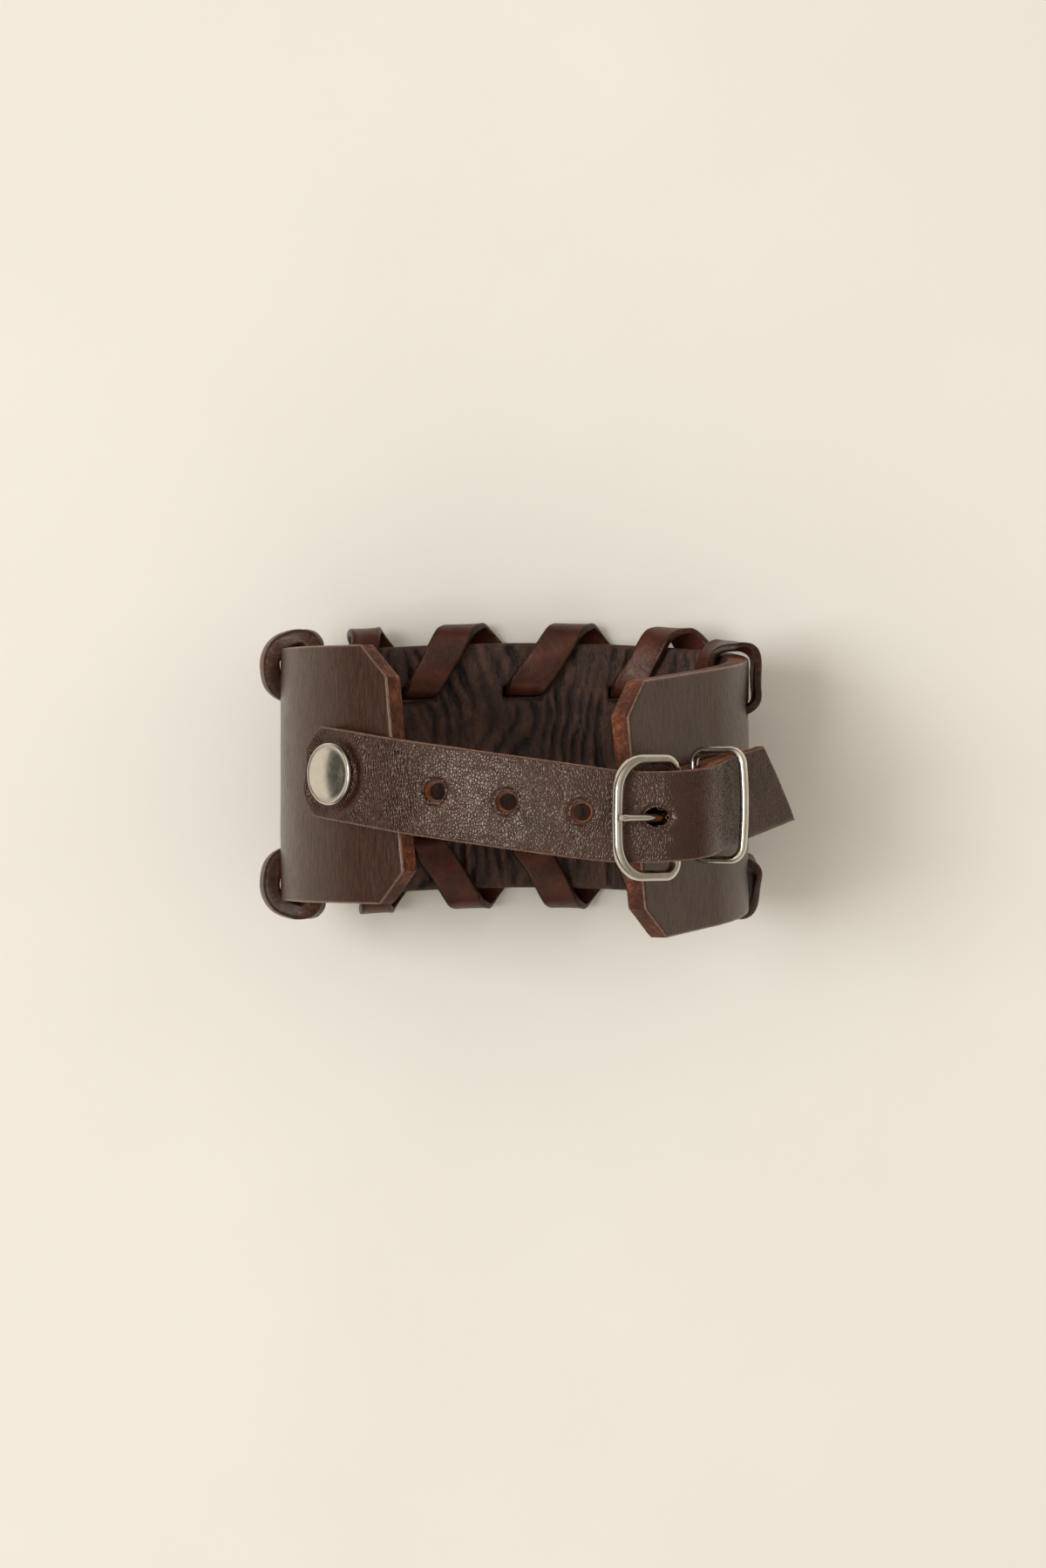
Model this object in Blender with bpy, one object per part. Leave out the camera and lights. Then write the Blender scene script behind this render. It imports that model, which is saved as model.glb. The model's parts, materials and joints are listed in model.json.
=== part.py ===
"""Laced leather wrist cuff, closed by a riveted strap, a wire buckle and a wire keeper.

Metres, +Z up. The cuff lies on its front with the closure on top. Y runs along the wrist.
Every leather piece is cut flat, in sheet coordinates (along, across, outward), and then bent.
"""

import math

import bmesh
import bpy
from mathutils import Vector

MM = 0.001

# Leather band
BAND_THICKNESS = 3.0 * MM
BAND_WIDTH = 35.0 * MM
BAND_CLEARANCE = 2.1 * MM  # room for the lace between the band and the table
BAND_CHAMFER = 4.5 * MM
BAND_STRIP = 2.6 * MM
BAND_SEAM = 8.6 * MM  # the faces between the two rows of slits end here
# The outer profile on each side of the centre of the front, as (length, turn in degrees).
RIGHT_PROFILE = ((11.55 * MM, 0), (20.0 * MM * math.pi / 2, 90), (17.3 * MM, 36), (18.7 * MM, 0))
LEFT_PROFILE = (
    (13.9 * MM, 0),
    (20.0 * MM * math.pi / 2, 90),
    (25.3 * MM, 44),
    (3.2 * MM, 6),
    (6.6 * MM, 0),
)
RIGHT_SKEW = math.radians(6.2)  # how far the right flap runs off square
RIGHT_SKEW_LENGTH = 36.0 * MM
LEFT_SHIFT = 1.35 * MM
LEFT_SHIFT_LENGTH = 40.0 * MM
RIGHT_CUT_SLANT = math.radians(3.0)
LEFT_CUT_SLANT = math.radians(6.5)

# Lacing
LACE_WIDTH = 5.0 * MM
LACE_THICKNESS = 1.3 * MM
LACE_PITCH = 14.7 * MM
SLIT_FROM_EDGE = 7.0 * MM
SLIT_LENGTH = 6.6 * MM
SLIT_WIDTH = 2.8 * MM
SLITS_EACH_WAY = 3
# One stitch from slit to slit: (along the edge, beyond the edge, outward from the outer face).
STITCH = (
    (0.0, -7.0, -1.5),
    (0.3, -6.4, -3.92),
    (2.2, -4.0, -4.1),
    (4.3, -0.8, -4.15),
    (5.6, 1.6, -3.2),
    (6.6, 2.25, -1.5),
    (7.6, 1.6, 0.2),
    (9.4, -0.9, 1.17),
    (12.0, -4.0, 1.1),
    (14.3, -6.35, 0.96),
)
FIRST_STITCH_SQUEEZE = 0.4
FIRST_STITCH_BULGE = 1.1 * MM

# Strap
STRAP_WIDTH = 12.4 * MM
STRAP_THICKNESS = 1.8 * MM
STRAP_GAP = 0.3 * MM
STRAP_END = 5.4 * MM  # from the rivet to the strap's clipped end
STRAP_TAIL = 72.0 * MM  # from the rivet to the slanted tip
TAIL_LONG = 0.8 * MM  # the tip's low-y corner runs past that, the other one stops short
TAIL_SHORT = 3.4 * MM
TAIL_HALF_WIDTH = 5.6 * MM
TAPER_START = 36.0 * MM
STRAP_CLIP = 2.6 * MM
CLIP_SLANT = 1.4
DRIFT_STEPS = 60
STRAP_STRIP = 1.6 * MM
STRAP_RIVET_FROM_TIP = 9.6 * MM
HOLE_RADIUS = 1.55 * MM
BUCKLED_STRETCH = 1.4  # the hole in use is pulled long
HOLE_PITCH = 9.9 * MM
BUCKLED_HOLE = 46.7 * MM  # from the rivet to the hole in use
HOLE_COUNT = 4
# The strap's under side after it leaves the left flap's tip, as (length, turn in degrees).
STRAP_PROFILE = (
    (6.9 * MM, -18),
    (22.4 * MM, -22),
    (8.4 * MM, 0),
    (6.6 * MM, -62),
    (3.3 * MM, 0),
    (4.9 * MM, 14),
    (12.0 * MM, 0),
)
# The strap's direction within its own sheet, as (distance from the rivet, degrees).
STRAP_DRIFT = ((-6 * MM, -7.9), (38.4 * MM, -7.9), (44.9 * MM, 0), (57.4 * MM, 13.3), (80 * MM, 13.3))

# Rivets
CAP_RADIUS = 4.25 * MM
CAP_RIM = 0.5 * MM
CAP_DOME = 0.45 * MM
BACK_DOME = 0.6 * MM
POST_RADIUS = 1.6 * MM
POST_HOLE = 1.9 * MM
RIVET_GAP = 0.3 * MM
POST_REACH = 0.4 * MM  # the post's end past the leather, inside the back cap's socket
SOCKET_PLAY = 0.15 * MM
SOCKET_FLOOR = 0.3 * MM
BACK_CAP_GAP = 0.25 * MM

# Buckle, tab and keeper. Places on the right flap are (along, out): along its straight
# run, counted from the tip, and out from its outer face.
BAR_PLACE = (-0.84 * MM, 5.57 * MM)
BUCKLE_Y = -7.17 * MM
BAR_RADIUS = 0.75 * MM
FRAME_LENGTH = 10.2 * MM
FRAME_HALF_HEIGHT = 7.7 * MM
FRAME_TILT = math.radians(43.0)
FRAME_OUTER_CORNER = 4.0 * MM
FRAME_BAR_CORNER = 1.9 * MM
FRAME_BOW = 0.55 * MM
PRONG_RADIUS = 0.6 * MM
PRONG_EYE = 1.55 * MM
PRONG_EYE_START = 132.0  # the eye's wire, in degrees round the bar from the flap's direction
PRONG_EYE_TURN = -318.0
PRONG_OVER_RAIL = 0.1 * MM
# The shank as (along the frame, above it) where it leaves the eye, then round the far rail.
PRONG_KNEE = (4.2 * MM, 1.3 * MM)
PRONG_BEFORE_RAIL = 1.5 * MM
PRONG_PAST_RAIL = 0.7 * MM
TAB_WIDTH = 11.0 * MM
TAB_THICKNESS = 1.5 * MM
TAB_SKEW = 0.16
TAB_RIVET_ALONG = -16.0 * MM
# The tab's middle from its lower end, up the flap, round the bar and back, as (along, out).
TAB_RISE = ((-21.0, 1.05), (-16.0, 1.05), (-11.5, 1.05), (-8.0, 1.35), (-4.0, 2.7))
TAB_RETURN = ((-4.6, 7.1), (-8.0, 5.75), (-10.2, 3.8), (-12.4, 2.95), (-16.0, 2.9), (-21.0, 2.9))
TAB_WRAP_RADIUS = 1.85 * MM
TAB_WRAP = (-75, 105, 20)  # first, last and step, in degrees round the bar
TAB_SLOT_LENGTH = 11.0 * MM  # the slot for the prong, where the tab turns round the bar
TAB_SLOT_WIDTH = 2.4 * MM
TAB_SLOT_SHIFT = -0.3 * MM
TAB_STRIP = 0.9 * MM
KEEPER_RADIUS = 0.6 * MM
KEEPER_LOWER = (-8.5 * MM, 3.35 * MM)
KEEPER_UPPER = (-8.5 * MM, 11.05 * MM)
KEEPER_HALF_HEIGHT = 7.35 * MM
KEEPER_Y = -5.5 * MM
KEEPER_CORNER = 1.8 * MM
KEEPER_BOW = 0.5 * MM

ROUND = 24
CORNER_STEPS = 6
FAR_RAIL_POINTS = (-0.6, -0.2, 0.2, 0.6)  # shares of half the far rail


def material(name, color, roughness, metallic=0.0):
    made = bpy.data.materials.new(name)
    made.use_nodes = True
    shader = made.node_tree.nodes["Principled BSDF"]
    shader.inputs["Base Color"].default_value = (*color, 1.0)
    shader.inputs["Roughness"].default_value = roughness
    shader.inputs["Metallic"].default_value = metallic
    return made


def add_object(name, mesh, finish):
    made = bpy.data.objects.new(name, mesh)
    made.data.materials.append(finish)
    bpy.context.scene.collection.objects.link(made)
    return made


def mesh_of(shape, name):
    mesh = bpy.data.meshes.new(name)
    shape.to_mesh(mesh)
    shape.free()
    return mesh


def along_profile(length, profile, start=(0.0, 0.0), heading=0.0):
    """Point and heading at a length along a chain of arcs and straight runs."""
    x, z = start
    for run, degrees in profile:
        part = length if (run, degrees) == profile[-1] else min(length, run)
        turn = math.radians(degrees) * part / run
        if degrees:
            radius = part / turn if part else 0.0
            x += radius * (math.sin(heading + turn) - math.sin(heading))
            z += radius * (math.cos(heading) - math.cos(heading + turn))
        else:
            x += part * math.cos(heading)
            z += part * math.sin(heading)
        heading += turn
        length -= part
        if length <= 0:
            break
    return x, z, heading


def band_drift(along):
    """Sideways shift of the band's centre line, and its direction, at a place along it."""
    if along > 0:
        ramp = min(along, RIGHT_SKEW_LENGTH)
        slope = -math.tan(RIGHT_SKEW) * ramp / RIGHT_SKEW_LENGTH
        shift = slope * ramp / 2 - math.tan(RIGHT_SKEW) * (along - ramp)
        return shift, math.atan(slope)
    share = min(-along / LEFT_SHIFT_LENGTH, 1.0)
    shift = -LEFT_SHIFT * share * share * (3 - 2 * share)
    slope = LEFT_SHIFT * 6 * share * (1 - share) / LEFT_SHIFT_LENGTH
    return shift, math.atan(slope)


def band_section(along):
    """Outer face of the band's section: x, z and outward direction."""
    if along >= 0:
        x, z, heading = along_profile(along, RIGHT_PROFILE)
        return x, z, math.sin(heading), -math.cos(heading)
    x, z, heading = along_profile(-along, LEFT_PROFILE)
    return -x, z, -math.sin(heading), -math.cos(heading)


def bend_band(point):
    """Band sheet coordinates to world."""
    along, across, out = point
    shift, direction = band_drift(along)
    x, z, out_x, out_z = band_section(along - across * math.sin(direction))
    y = shift + across * math.cos(direction)
    return Vector((x + out * out_x, y, BAND_CLEARANCE + z + out * out_z))


def profile_length(profile):
    return sum(run for run, degrees in profile)


RIGHT_TIP = profile_length(RIGHT_PROFILE)
LEFT_TIP = profile_length(LEFT_PROFILE)
STRAP_RIVET = -(LEFT_TIP - STRAP_RIVET_FROM_TIP)


def flap_point(along, out, y):
    """A place over the right flap's straight run, at a world y."""
    x, z, out_x, out_z = band_section(RIGHT_TIP)
    direction = Vector((-out_z, 0.0, out_x))
    tip = Vector((x, 0.0, BAND_CLEARANCE + z))
    place = tip + direction * along + Vector((out_x, 0.0, out_z)) * out
    return Vector((place.x, y, place.z))


def flat_sheet(outline, thickness, strip, seams=()):
    """A flat plate from z = -thickness to 0, cut into narrow strips that can bend."""
    shape = bmesh.new()
    face = shape.faces.new([shape.verts.new((x, y, -thickness)) for x, y in outline])
    raised = bmesh.ops.extrude_face_region(shape, geom=[face])
    top = [v for v in raised["geom"] if isinstance(v, bmesh.types.BMVert)]
    bmesh.ops.translate(shape, verts=top, vec=(0, 0, thickness))
    bmesh.ops.recalc_face_normals(shape, faces=shape.faces)
    low = min(x for x, y in outline)
    high = max(x for x, y in outline)
    count = round((high - low) / strip)
    for index in range(1, count):
        place = low + (high - low) * index / count
        everything = shape.verts[:] + shape.edges[:] + shape.faces[:]
        bmesh.ops.bisect_plane(
            shape, geom=everything, dist=1e-7, plane_co=(place, 0, 0), plane_no=(1, 0, 0)
        )
    for place in seams:
        everything = shape.verts[:] + shape.edges[:] + shape.faces[:]
        bmesh.ops.bisect_plane(
            shape, geom=everything, dist=1e-7, plane_co=(0, place, 0), plane_no=(0, 1, 0)
        )
    return shape


def cut_sheet(shape, cutters, name):
    """The sheet with its slits and holes cut through, as triangles."""
    sheet = bpy.data.objects.new(name, mesh_of(shape, name))
    tool = bpy.data.objects.new(name + "_cutter", mesh_of(cutters, name + "_cutter"))
    for thing in (sheet, tool):
        bpy.context.scene.collection.objects.link(thing)
    cut = sheet.modifiers.new("cut", "BOOLEAN")
    cut.operation = "DIFFERENCE"
    cut.object = tool
    graph = bpy.context.evaluated_depsgraph_get()
    mesh = bpy.data.meshes.new_from_object(sheet.evaluated_get(graph))
    for thing in (sheet, tool):
        bpy.data.objects.remove(thing)
    result = bmesh.new()
    result.from_mesh(mesh)
    bmesh.ops.triangulate(result, faces=result.faces)
    return result


def bent(shape, bend, name):
    for vertex in shape.verts:
        vertex.co = bend(vertex.co)
    if shape.calc_volume(signed=True) < 0:
        bmesh.ops.reverse_faces(shape, faces=shape.faces)
    return mesh_of(shape, name)


def add_block(shape, center, size):
    made = bmesh.ops.create_cube(shape, size=1.0)
    bmesh.ops.scale(shape, vec=size, verts=made["verts"])
    bmesh.ops.translate(shape, vec=center, verts=made["verts"])


def add_punch(shape, x, y, radius, depth, stretch=1.0):
    made = bmesh.ops.create_cone(
        shape, cap_ends=True, segments=16, radius1=radius, radius2=radius, depth=depth
    )
    bmesh.ops.scale(shape, vec=(stretch, 1, 1), verts=made["verts"])
    bmesh.ops.translate(shape, vec=(x, y, 0), verts=made["verts"])


def slanted_end(place, half, chamfer, slant, sign):
    """Corners of a chamfered, slanted end, from low to high y."""
    lean = math.tan(slant)
    return (
        (place - sign * chamfer - half * lean, -half),
        (place - (half - chamfer) * lean, -half + chamfer),
        (place + (half - chamfer) * lean, half - chamfer),
        (place - sign * chamfer + half * lean, half),
    )


def make_band(finish):
    half = BAND_WIDTH / 2
    right = slanted_end(RIGHT_TIP, half, BAND_CHAMFER, RIGHT_CUT_SLANT, 1)
    left = slanted_end(-LEFT_TIP, half, BAND_CHAMFER, LEFT_CUT_SLANT, -1)
    seams = (-BAND_SEAM, BAND_SEAM)
    sheet = flat_sheet(right + left[::-1], BAND_THICKNESS, BAND_STRIP, seams)
    cutters = bmesh.new()
    depth = 4 * BAND_THICKNESS
    for side in (-1, 1):
        for index in range(-SLITS_EACH_WAY, SLITS_EACH_WAY + 1):
            center = (index * LACE_PITCH, side * (half - SLIT_FROM_EDGE), 0)
            add_block(cutters, center, (SLIT_LENGTH, SLIT_WIDTH, depth))
    add_punch(cutters, STRAP_RIVET, 0, POST_HOLE, depth)
    add_punch(cutters, *band_place_of_tab_rivet(), POST_HOLE, depth)
    mesh = bent(cut_sheet(sheet, cutters, "band"), bend_band, "cuff_band")
    return add_object("cuff_band", mesh, finish)


def tab_rivet_y():
    return BUCKLE_Y + (BAR_PLACE[0] - TAB_RIVET_ALONG) * TAB_SKEW


def band_place_of_tab_rivet():
    """Sheet coordinates of the place on the right flap that lies under the tab's rivet."""
    section = RIGHT_TIP + TAB_RIVET_ALONG
    along = section
    across = 0.0
    for _ in range(20):
        shift, direction = band_drift(along)
        across = (tab_rivet_y() - shift) / math.cos(direction)
        along = section + across * math.sin(direction)
    return along, across


def smooth_path(points, steps):
    """Points along a Catmull-Rom curve through the given points."""
    ends = [points[0] * 2 - points[1], *points, points[-1] * 2 - points[-2]]
    path = []
    for a, b, c, d in zip(ends, ends[1:], ends[2:], ends[3:]):
        for step in range(steps):
            t = step / steps
            path.append(
                0.5 * (2 * b + (c - a) * t + (2 * a - 5 * b + 4 * c - d) * t**2)
                + 0.5 * (3 * b - a - 3 * c + d) * t**3
            )
    return [*path, points[-1]]


def lace_route():
    """The lace's middle in band sheet coordinates, measured beyond the edge in place of across."""
    route = []
    squeezed_slit = -SLITS_EACH_WAY * LACE_PITCH
    for along, beyond, out in STITCH[2:]:
        stretch = (along * MM - LACE_PITCH) * FIRST_STITCH_SQUEEZE
        bulge = FIRST_STITCH_BULGE * max(0.0, math.sin(math.pi * (along - 6.0) / 8.7))
        route.append(Vector((squeezed_slit + stretch, beyond * MM, out * MM + bulge)))
    for index in range(-SLITS_EACH_WAY, SLITS_EACH_WAY):
        for along, beyond, out in STITCH:
            route.append(Vector((index * LACE_PITCH + along * MM, beyond * MM, out * MM)))
    for along, beyond, out in STITCH[:3]:
        route.append(
            Vector((SLITS_EACH_WAY * LACE_PITCH + along * MM, beyond * MM, out * MM))
        )
    return route


def sweep_ribbon(path, width, thickness):
    """Flat ribbon along a route that winds round the band's edge."""
    shape = bmesh.new()
    rings = []
    for index, center in enumerate(path):
        ahead = path[min(index + 1, len(path) - 1)]
        tangent = (ahead - path[max(index - 1, 0)]).normalized()
        outward = Vector((0.0, -tangent.z, tangent.y)).normalized()
        side = tangent.cross(outward).normalized() * width / 2
        up = side.cross(tangent).normalized() * thickness / 2
        corners = (side + up, up - side, -side - up, side - up)
        rings.append([shape.verts.new(center + corner) for corner in corners])
    for ring, following in zip(rings, rings[1:]):
        for index in range(4):
            after = (index + 1) % 4
            shape.faces.new((ring[index], ring[after], following[after], following[index]))
    shape.faces.new(rings[0][::-1])
    shape.faces.new(rings[-1])
    bmesh.ops.triangulate(shape, faces=shape.faces)
    return shape


def make_lace(name, side, finish):
    half = BAND_WIDTH / 2
    shape = sweep_ribbon(smooth_path(lace_route(), 2), LACE_WIDTH, LACE_THICKNESS)

    def bend(point):
        return bend_band((point.x, side * (half + point.y), point.z))

    return add_object(name, bent(shape, bend, name), finish)


def strap_section(along):
    """Under side of the strap's section, from its rivet: x, z and upward direction."""
    leaving = STRAP_RIVET_FROM_TIP
    if along <= leaving:
        x, z, out_x, out_z = band_section(STRAP_RIVET - along)
        return x + STRAP_GAP * out_x, z + STRAP_GAP * out_z, out_x, out_z
    x, z, out_x, out_z = band_section(STRAP_RIVET - leaving)
    start = (x + STRAP_GAP * out_x, z + STRAP_GAP * out_z)
    heading = math.atan2(-out_x, out_z)
    x, z, heading = along_profile(along - leaving, STRAP_PROFILE, start, heading)
    return x, z, -math.sin(heading), math.cos(heading)


def strap_direction(along):
    """Direction of the strap within its sheet, at a distance from the rivet."""
    for (low, before), (high, after) in zip(STRAP_DRIFT, STRAP_DRIFT[1:]):
        if along <= high:
            share = max(0.0, (along - low) / (high - low))
            return math.radians(before + (after - before) * share)
    return math.radians(STRAP_DRIFT[-1][1])


def strap_center(along):
    """Distance along the section, and sideways, of the strap's centre line."""
    run = 0.0
    y = band_drift(STRAP_RIVET)[0]
    for index in range(DRIFT_STEPS):
        direction = strap_direction(along * (index + 0.5) / DRIFT_STEPS)
        run += along / DRIFT_STEPS * math.cos(direction)
        y += along / DRIFT_STEPS * math.sin(direction)
    return run, y


def bend_strap(point):
    """Strap sheet coordinates to world. Its under side is at -thickness."""
    along, across, out = point
    direction = strap_direction(along)
    run, y = strap_center(along)
    x, z, up_x, up_z = strap_section(run - across * math.sin(direction))
    lift = out + STRAP_THICKNESS
    y += across * math.cos(direction)
    return Vector((x + lift * up_x, y, BAND_CLEARANCE + z + lift * up_z))


def make_strap(finish):
    half = STRAP_WIDTH / 2
    clip = CLIP_SLANT * STRAP_CLIP
    outline = (
        (-STRAP_END + STRAP_CLIP, -half),
        (TAPER_START, -half),
        (STRAP_TAIL + TAIL_LONG, -TAIL_HALF_WIDTH),
        (STRAP_TAIL - TAIL_SHORT, TAIL_HALF_WIDTH),
        (TAPER_START, half),
        (-STRAP_END + STRAP_CLIP, half),
        (-STRAP_END, half - clip),
        (-STRAP_END, -half + clip),
    )
    sheet = flat_sheet(outline, STRAP_THICKNESS, STRAP_STRIP)
    cutters = bmesh.new()
    depth = 4 * STRAP_THICKNESS
    add_punch(cutters, 0, 0, POST_HOLE, depth)
    add_punch(cutters, BUCKLED_HOLE, 0, HOLE_RADIUS, depth, BUCKLED_STRETCH)
    for index in range(1, HOLE_COUNT):
        add_punch(cutters, BUCKLED_HOLE - index * HOLE_PITCH, 0, HOLE_RADIUS, depth)
    mesh = bent(cut_sheet(sheet, cutters, "strap"), bend_strap, "strap")
    return add_object("strap", mesh, finish)


def turned(profile, name):
    """A solid of revolution round +Z from (radius, height) points that start and end on it."""
    shape = bmesh.new()
    points = [shape.verts.new((radius, 0.0, height)) for radius, height in profile]
    edges = [shape.edges.new(pair) for pair in zip(points, points[1:])]
    bmesh.ops.spin(
        shape,
        geom=points + edges,
        cent=(0, 0, 0),
        axis=(0, 0, 1),
        angle=math.tau,
        steps=ROUND,
        use_merge=True,
    )
    bmesh.ops.remove_doubles(shape, verts=shape.verts, dist=1e-6)
    bmesh.ops.recalc_face_normals(shape, faces=shape.faces)
    mesh = mesh_of(shape, name)
    mesh.shade_smooth()
    mesh.set_sharp_from_angle(angle=math.radians(35))
    return mesh


def dome(radius, base, height, steps):
    """Profile of a shallow dome from its rim to the axis."""
    quarter = math.pi / 2
    return [
        (radius * math.cos(quarter * i / steps), base + height * math.sin(quarter * i / steps))
        for i in range(steps)
    ] + [(0.0, base + height)]


def stand(made, place, outward):
    """Puts a turned piece at a place, its +Z along outward."""
    made.location = place
    made.rotation_euler = Vector(outward).to_track_quat("Z", "Y").to_euler()
    return made


def make_rivet(name, place, outward, stack, finish):
    """A capped rivet whose cap sits above a stack of leather, and its inner cap."""
    reach = stack + RIVET_GAP
    end = -reach - POST_REACH
    cap = [(0.0, end), (POST_RADIUS, end), (POST_RADIUS, RIVET_GAP), (CAP_RADIUS, RIVET_GAP)]
    cap += dome(CAP_RADIUS, RIVET_GAP + CAP_RIM, CAP_DOME, 5)
    stand(add_object(name, turned(cap, name), finish), place, outward)
    socket = POST_RADIUS + SOCKET_PLAY
    top = -reach - BACK_CAP_GAP
    floor = end - SOCKET_FLOOR
    back = [(0.0, floor), (socket, floor), (socket, top), (CAP_RADIUS, top)]
    back += [
        (radius, 2 * top - height)
        for radius, height in dome(CAP_RADIUS, top + CAP_RIM, BACK_DOME, 5)
    ]
    stand(add_object(name + "_back", turned(back, name + "_back"), finish), place, outward)


def rounded_loop(length, half, far_radius, near_radius, bow):
    """Closed loop of (along, across) points: near side at 0, far side bowed outwards."""
    corners = (
        (near_radius, -half + near_radius, near_radius, 180),
        (length - far_radius, -half + far_radius, far_radius, 270),
        (length - far_radius, half - far_radius, far_radius, 0),
        (near_radius, half - near_radius, near_radius, 90),
    )
    points = []
    for along, across, radius, start in corners:
        for step in range(CORNER_STEPS + 1):
            angle = math.radians(start + 90 * step / CORNER_STEPS)
            points.append((along + radius * math.cos(angle), across + radius * math.sin(angle)))
    straight = half - far_radius
    middle = 2 * (CORNER_STEPS + 1)
    points[middle:middle] = [(length, straight * share) for share in FAR_RAIL_POINTS]
    return [
        (along + bow * (1 - (across / half) ** 2) * max(0.0, along / length), across)
        for along, across in points
    ]


def wire(name, points, radius, finish, cyclic):
    curve = bpy.data.curves.new(name, "CURVE")
    curve.dimensions = "3D"
    curve.bevel_depth = radius
    curve.bevel_resolution = 3
    curve.use_fill_caps = True
    spline = curve.splines.new("POLY")
    spline.points.add(len(points) - 1)
    spline.use_cyclic_u = cyclic
    for point, place in zip(spline.points, points):
        point.co = (*place, 1.0)
    made = bpy.data.objects.new(name, curve)
    curve.materials.append(finish)
    bpy.context.scene.collection.objects.link(made)
    return made


def make_frame(finish):
    bar = flap_point(*BAR_PLACE, BUCKLE_Y)
    loop = rounded_loop(
        FRAME_LENGTH, FRAME_HALF_HEIGHT, FRAME_OUTER_CORNER, FRAME_BAR_CORNER, FRAME_BOW
    )
    reach = Vector((-math.cos(FRAME_TILT), 0.0, math.sin(FRAME_TILT)))
    points = [reach * along + Vector((0.0, across, 0.0)) for along, across in loop]
    made = wire("buckle_frame", points, BAR_RADIUS, finish, True)
    made.location = bar
    return made


def make_prong(finish):
    """The prong: an eye round the bar and a shank over the frame's far rail."""
    bar = flap_point(*BAR_PLACE, BUCKLE_Y)
    steps = 14
    points = []
    for step in range(steps):
        angle = math.radians(PRONG_EYE_START + PRONG_EYE_TURN * step / (steps - 1))
        points.append(Vector((PRONG_EYE * math.cos(angle), 0.0, PRONG_EYE * math.sin(angle))))
    reach = Vector((-math.cos(FRAME_TILT), 0.0, math.sin(FRAME_TILT)))
    lift = Vector((math.sin(FRAME_TILT), 0.0, math.cos(FRAME_TILT)))
    rail = FRAME_LENGTH + FRAME_BOW
    over = BAR_RADIUS + PRONG_RADIUS + PRONG_OVER_RAIL
    shank = (PRONG_KNEE, (rail - PRONG_BEFORE_RAIL, over), (rail + PRONG_PAST_RAIL, over))
    points += [reach * along + lift * up for along, up in shank]
    made = wire("buckle_prong", points, PRONG_RADIUS, finish, False)
    made.location = bar
    return made


def make_keeper(finish):
    lower = flap_point(*KEEPER_LOWER, KEEPER_Y)
    upper = flap_point(*KEEPER_UPPER, KEEPER_Y)
    reach = (upper - lower).normalized()
    loop = rounded_loop(
        (upper - lower).length, KEEPER_HALF_HEIGHT, KEEPER_CORNER, KEEPER_CORNER, KEEPER_BOW
    )
    points = [reach * along + Vector((0.0, across, 0.0)) for along, across in loop]
    made = wire("keeper_loop", points, KEEPER_RADIUS, finish, True)
    made.location = lower
    return made


def tab_path():
    """Middle of the tab's leather as (along, out) points over the flap."""
    rise = [Vector((a * MM, h * MM)) for a, h in TAB_RISE]
    back = [Vector((a * MM, h * MM)) for a, h in TAB_RETURN]
    bar = Vector(BAR_PLACE)
    wrap = []
    first, last, step = TAB_WRAP
    for degrees in range(first, last + 1, step):
        angle = math.radians(degrees)
        wrap.append(bar + TAB_WRAP_RADIUS * Vector((math.cos(angle), math.sin(angle))))
    return smooth_path(rise + wrap + back, 4)


def make_tab(finish):
    path = tab_path()
    lengths = [0.0]
    for before, after in zip(path, path[1:]):
        lengths.append(lengths[-1] + (after - before).length)
    total = lengths[-1]

    def bend(point):
        along, across, out = point
        index = 0
        while index < len(path) - 2 and lengths[index + 1] < along:
            index += 1
        share = (along - lengths[index]) / (lengths[index + 1] - lengths[index])
        place = path[index].lerp(path[index + 1], share)
        tangents = []
        for k in (index, index + 1):
            tangents.append((path[min(k + 1, len(path) - 1)] - path[max(k - 1, 0)]).normalized())
        tangent = tangents[0].lerp(tangents[1], share).normalized()
        place += Vector((tangent.y, -tangent.x)) * (out + TAB_THICKNESS / 2)
        y = BUCKLE_Y + (BAR_PLACE[0] - min(place.x, BAR_PLACE[0])) * TAB_SKEW + across
        return flap_point(place.x, place.y, y)

    half = TAB_WIDTH / 2
    outline = ((0.0, -half), (total, -half), (total, half), (0.0, half))
    sheet = flat_sheet(outline, TAB_THICKNESS, TAB_STRIP)
    cutters = bmesh.new()
    depth = 4 * TAB_THICKNESS
    for before, after, length in zip(path, path[1:], lengths):
        if (before.x < TAB_RIVET_ALONG) != (after.x < TAB_RIVET_ALONG):
            share = (TAB_RIVET_ALONG - before.x) / (after.x - before.x)
            place = length + share * (after - before).length
            add_punch(cutters, place, 0, POST_HOLE, depth)
    slot = (total / 2 + TAB_SLOT_SHIFT, 0, 0)
    add_block(cutters, slot, (TAB_SLOT_LENGTH, TAB_SLOT_WIDTH, depth))
    mesh = bent(cut_sheet(sheet, cutters, "tab"), bend, "buckle_tab")
    return add_object("buckle_tab", mesh, finish)


def rest_on_origin():
    """Moves every piece so that the origin is the middle of the cuff's footprint."""
    bpy.context.view_layer.update()
    graph = bpy.context.evaluated_depsgraph_get()
    corners = []
    for thing in bpy.data.objects:
        mesh = thing.evaluated_get(graph).to_mesh()
        corners += [thing.matrix_world @ vertex.co for vertex in mesh.vertices]
    low = [min(corner[axis] for corner in corners) for axis in range(3)]
    high = [max(corner[axis] for corner in corners) for axis in range(3)]
    middle = Vector(((low[0] + high[0]) / 2, (low[1] + high[1]) / 2, low[2]))
    for thing in bpy.data.objects:
        thing.location -= middle


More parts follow.
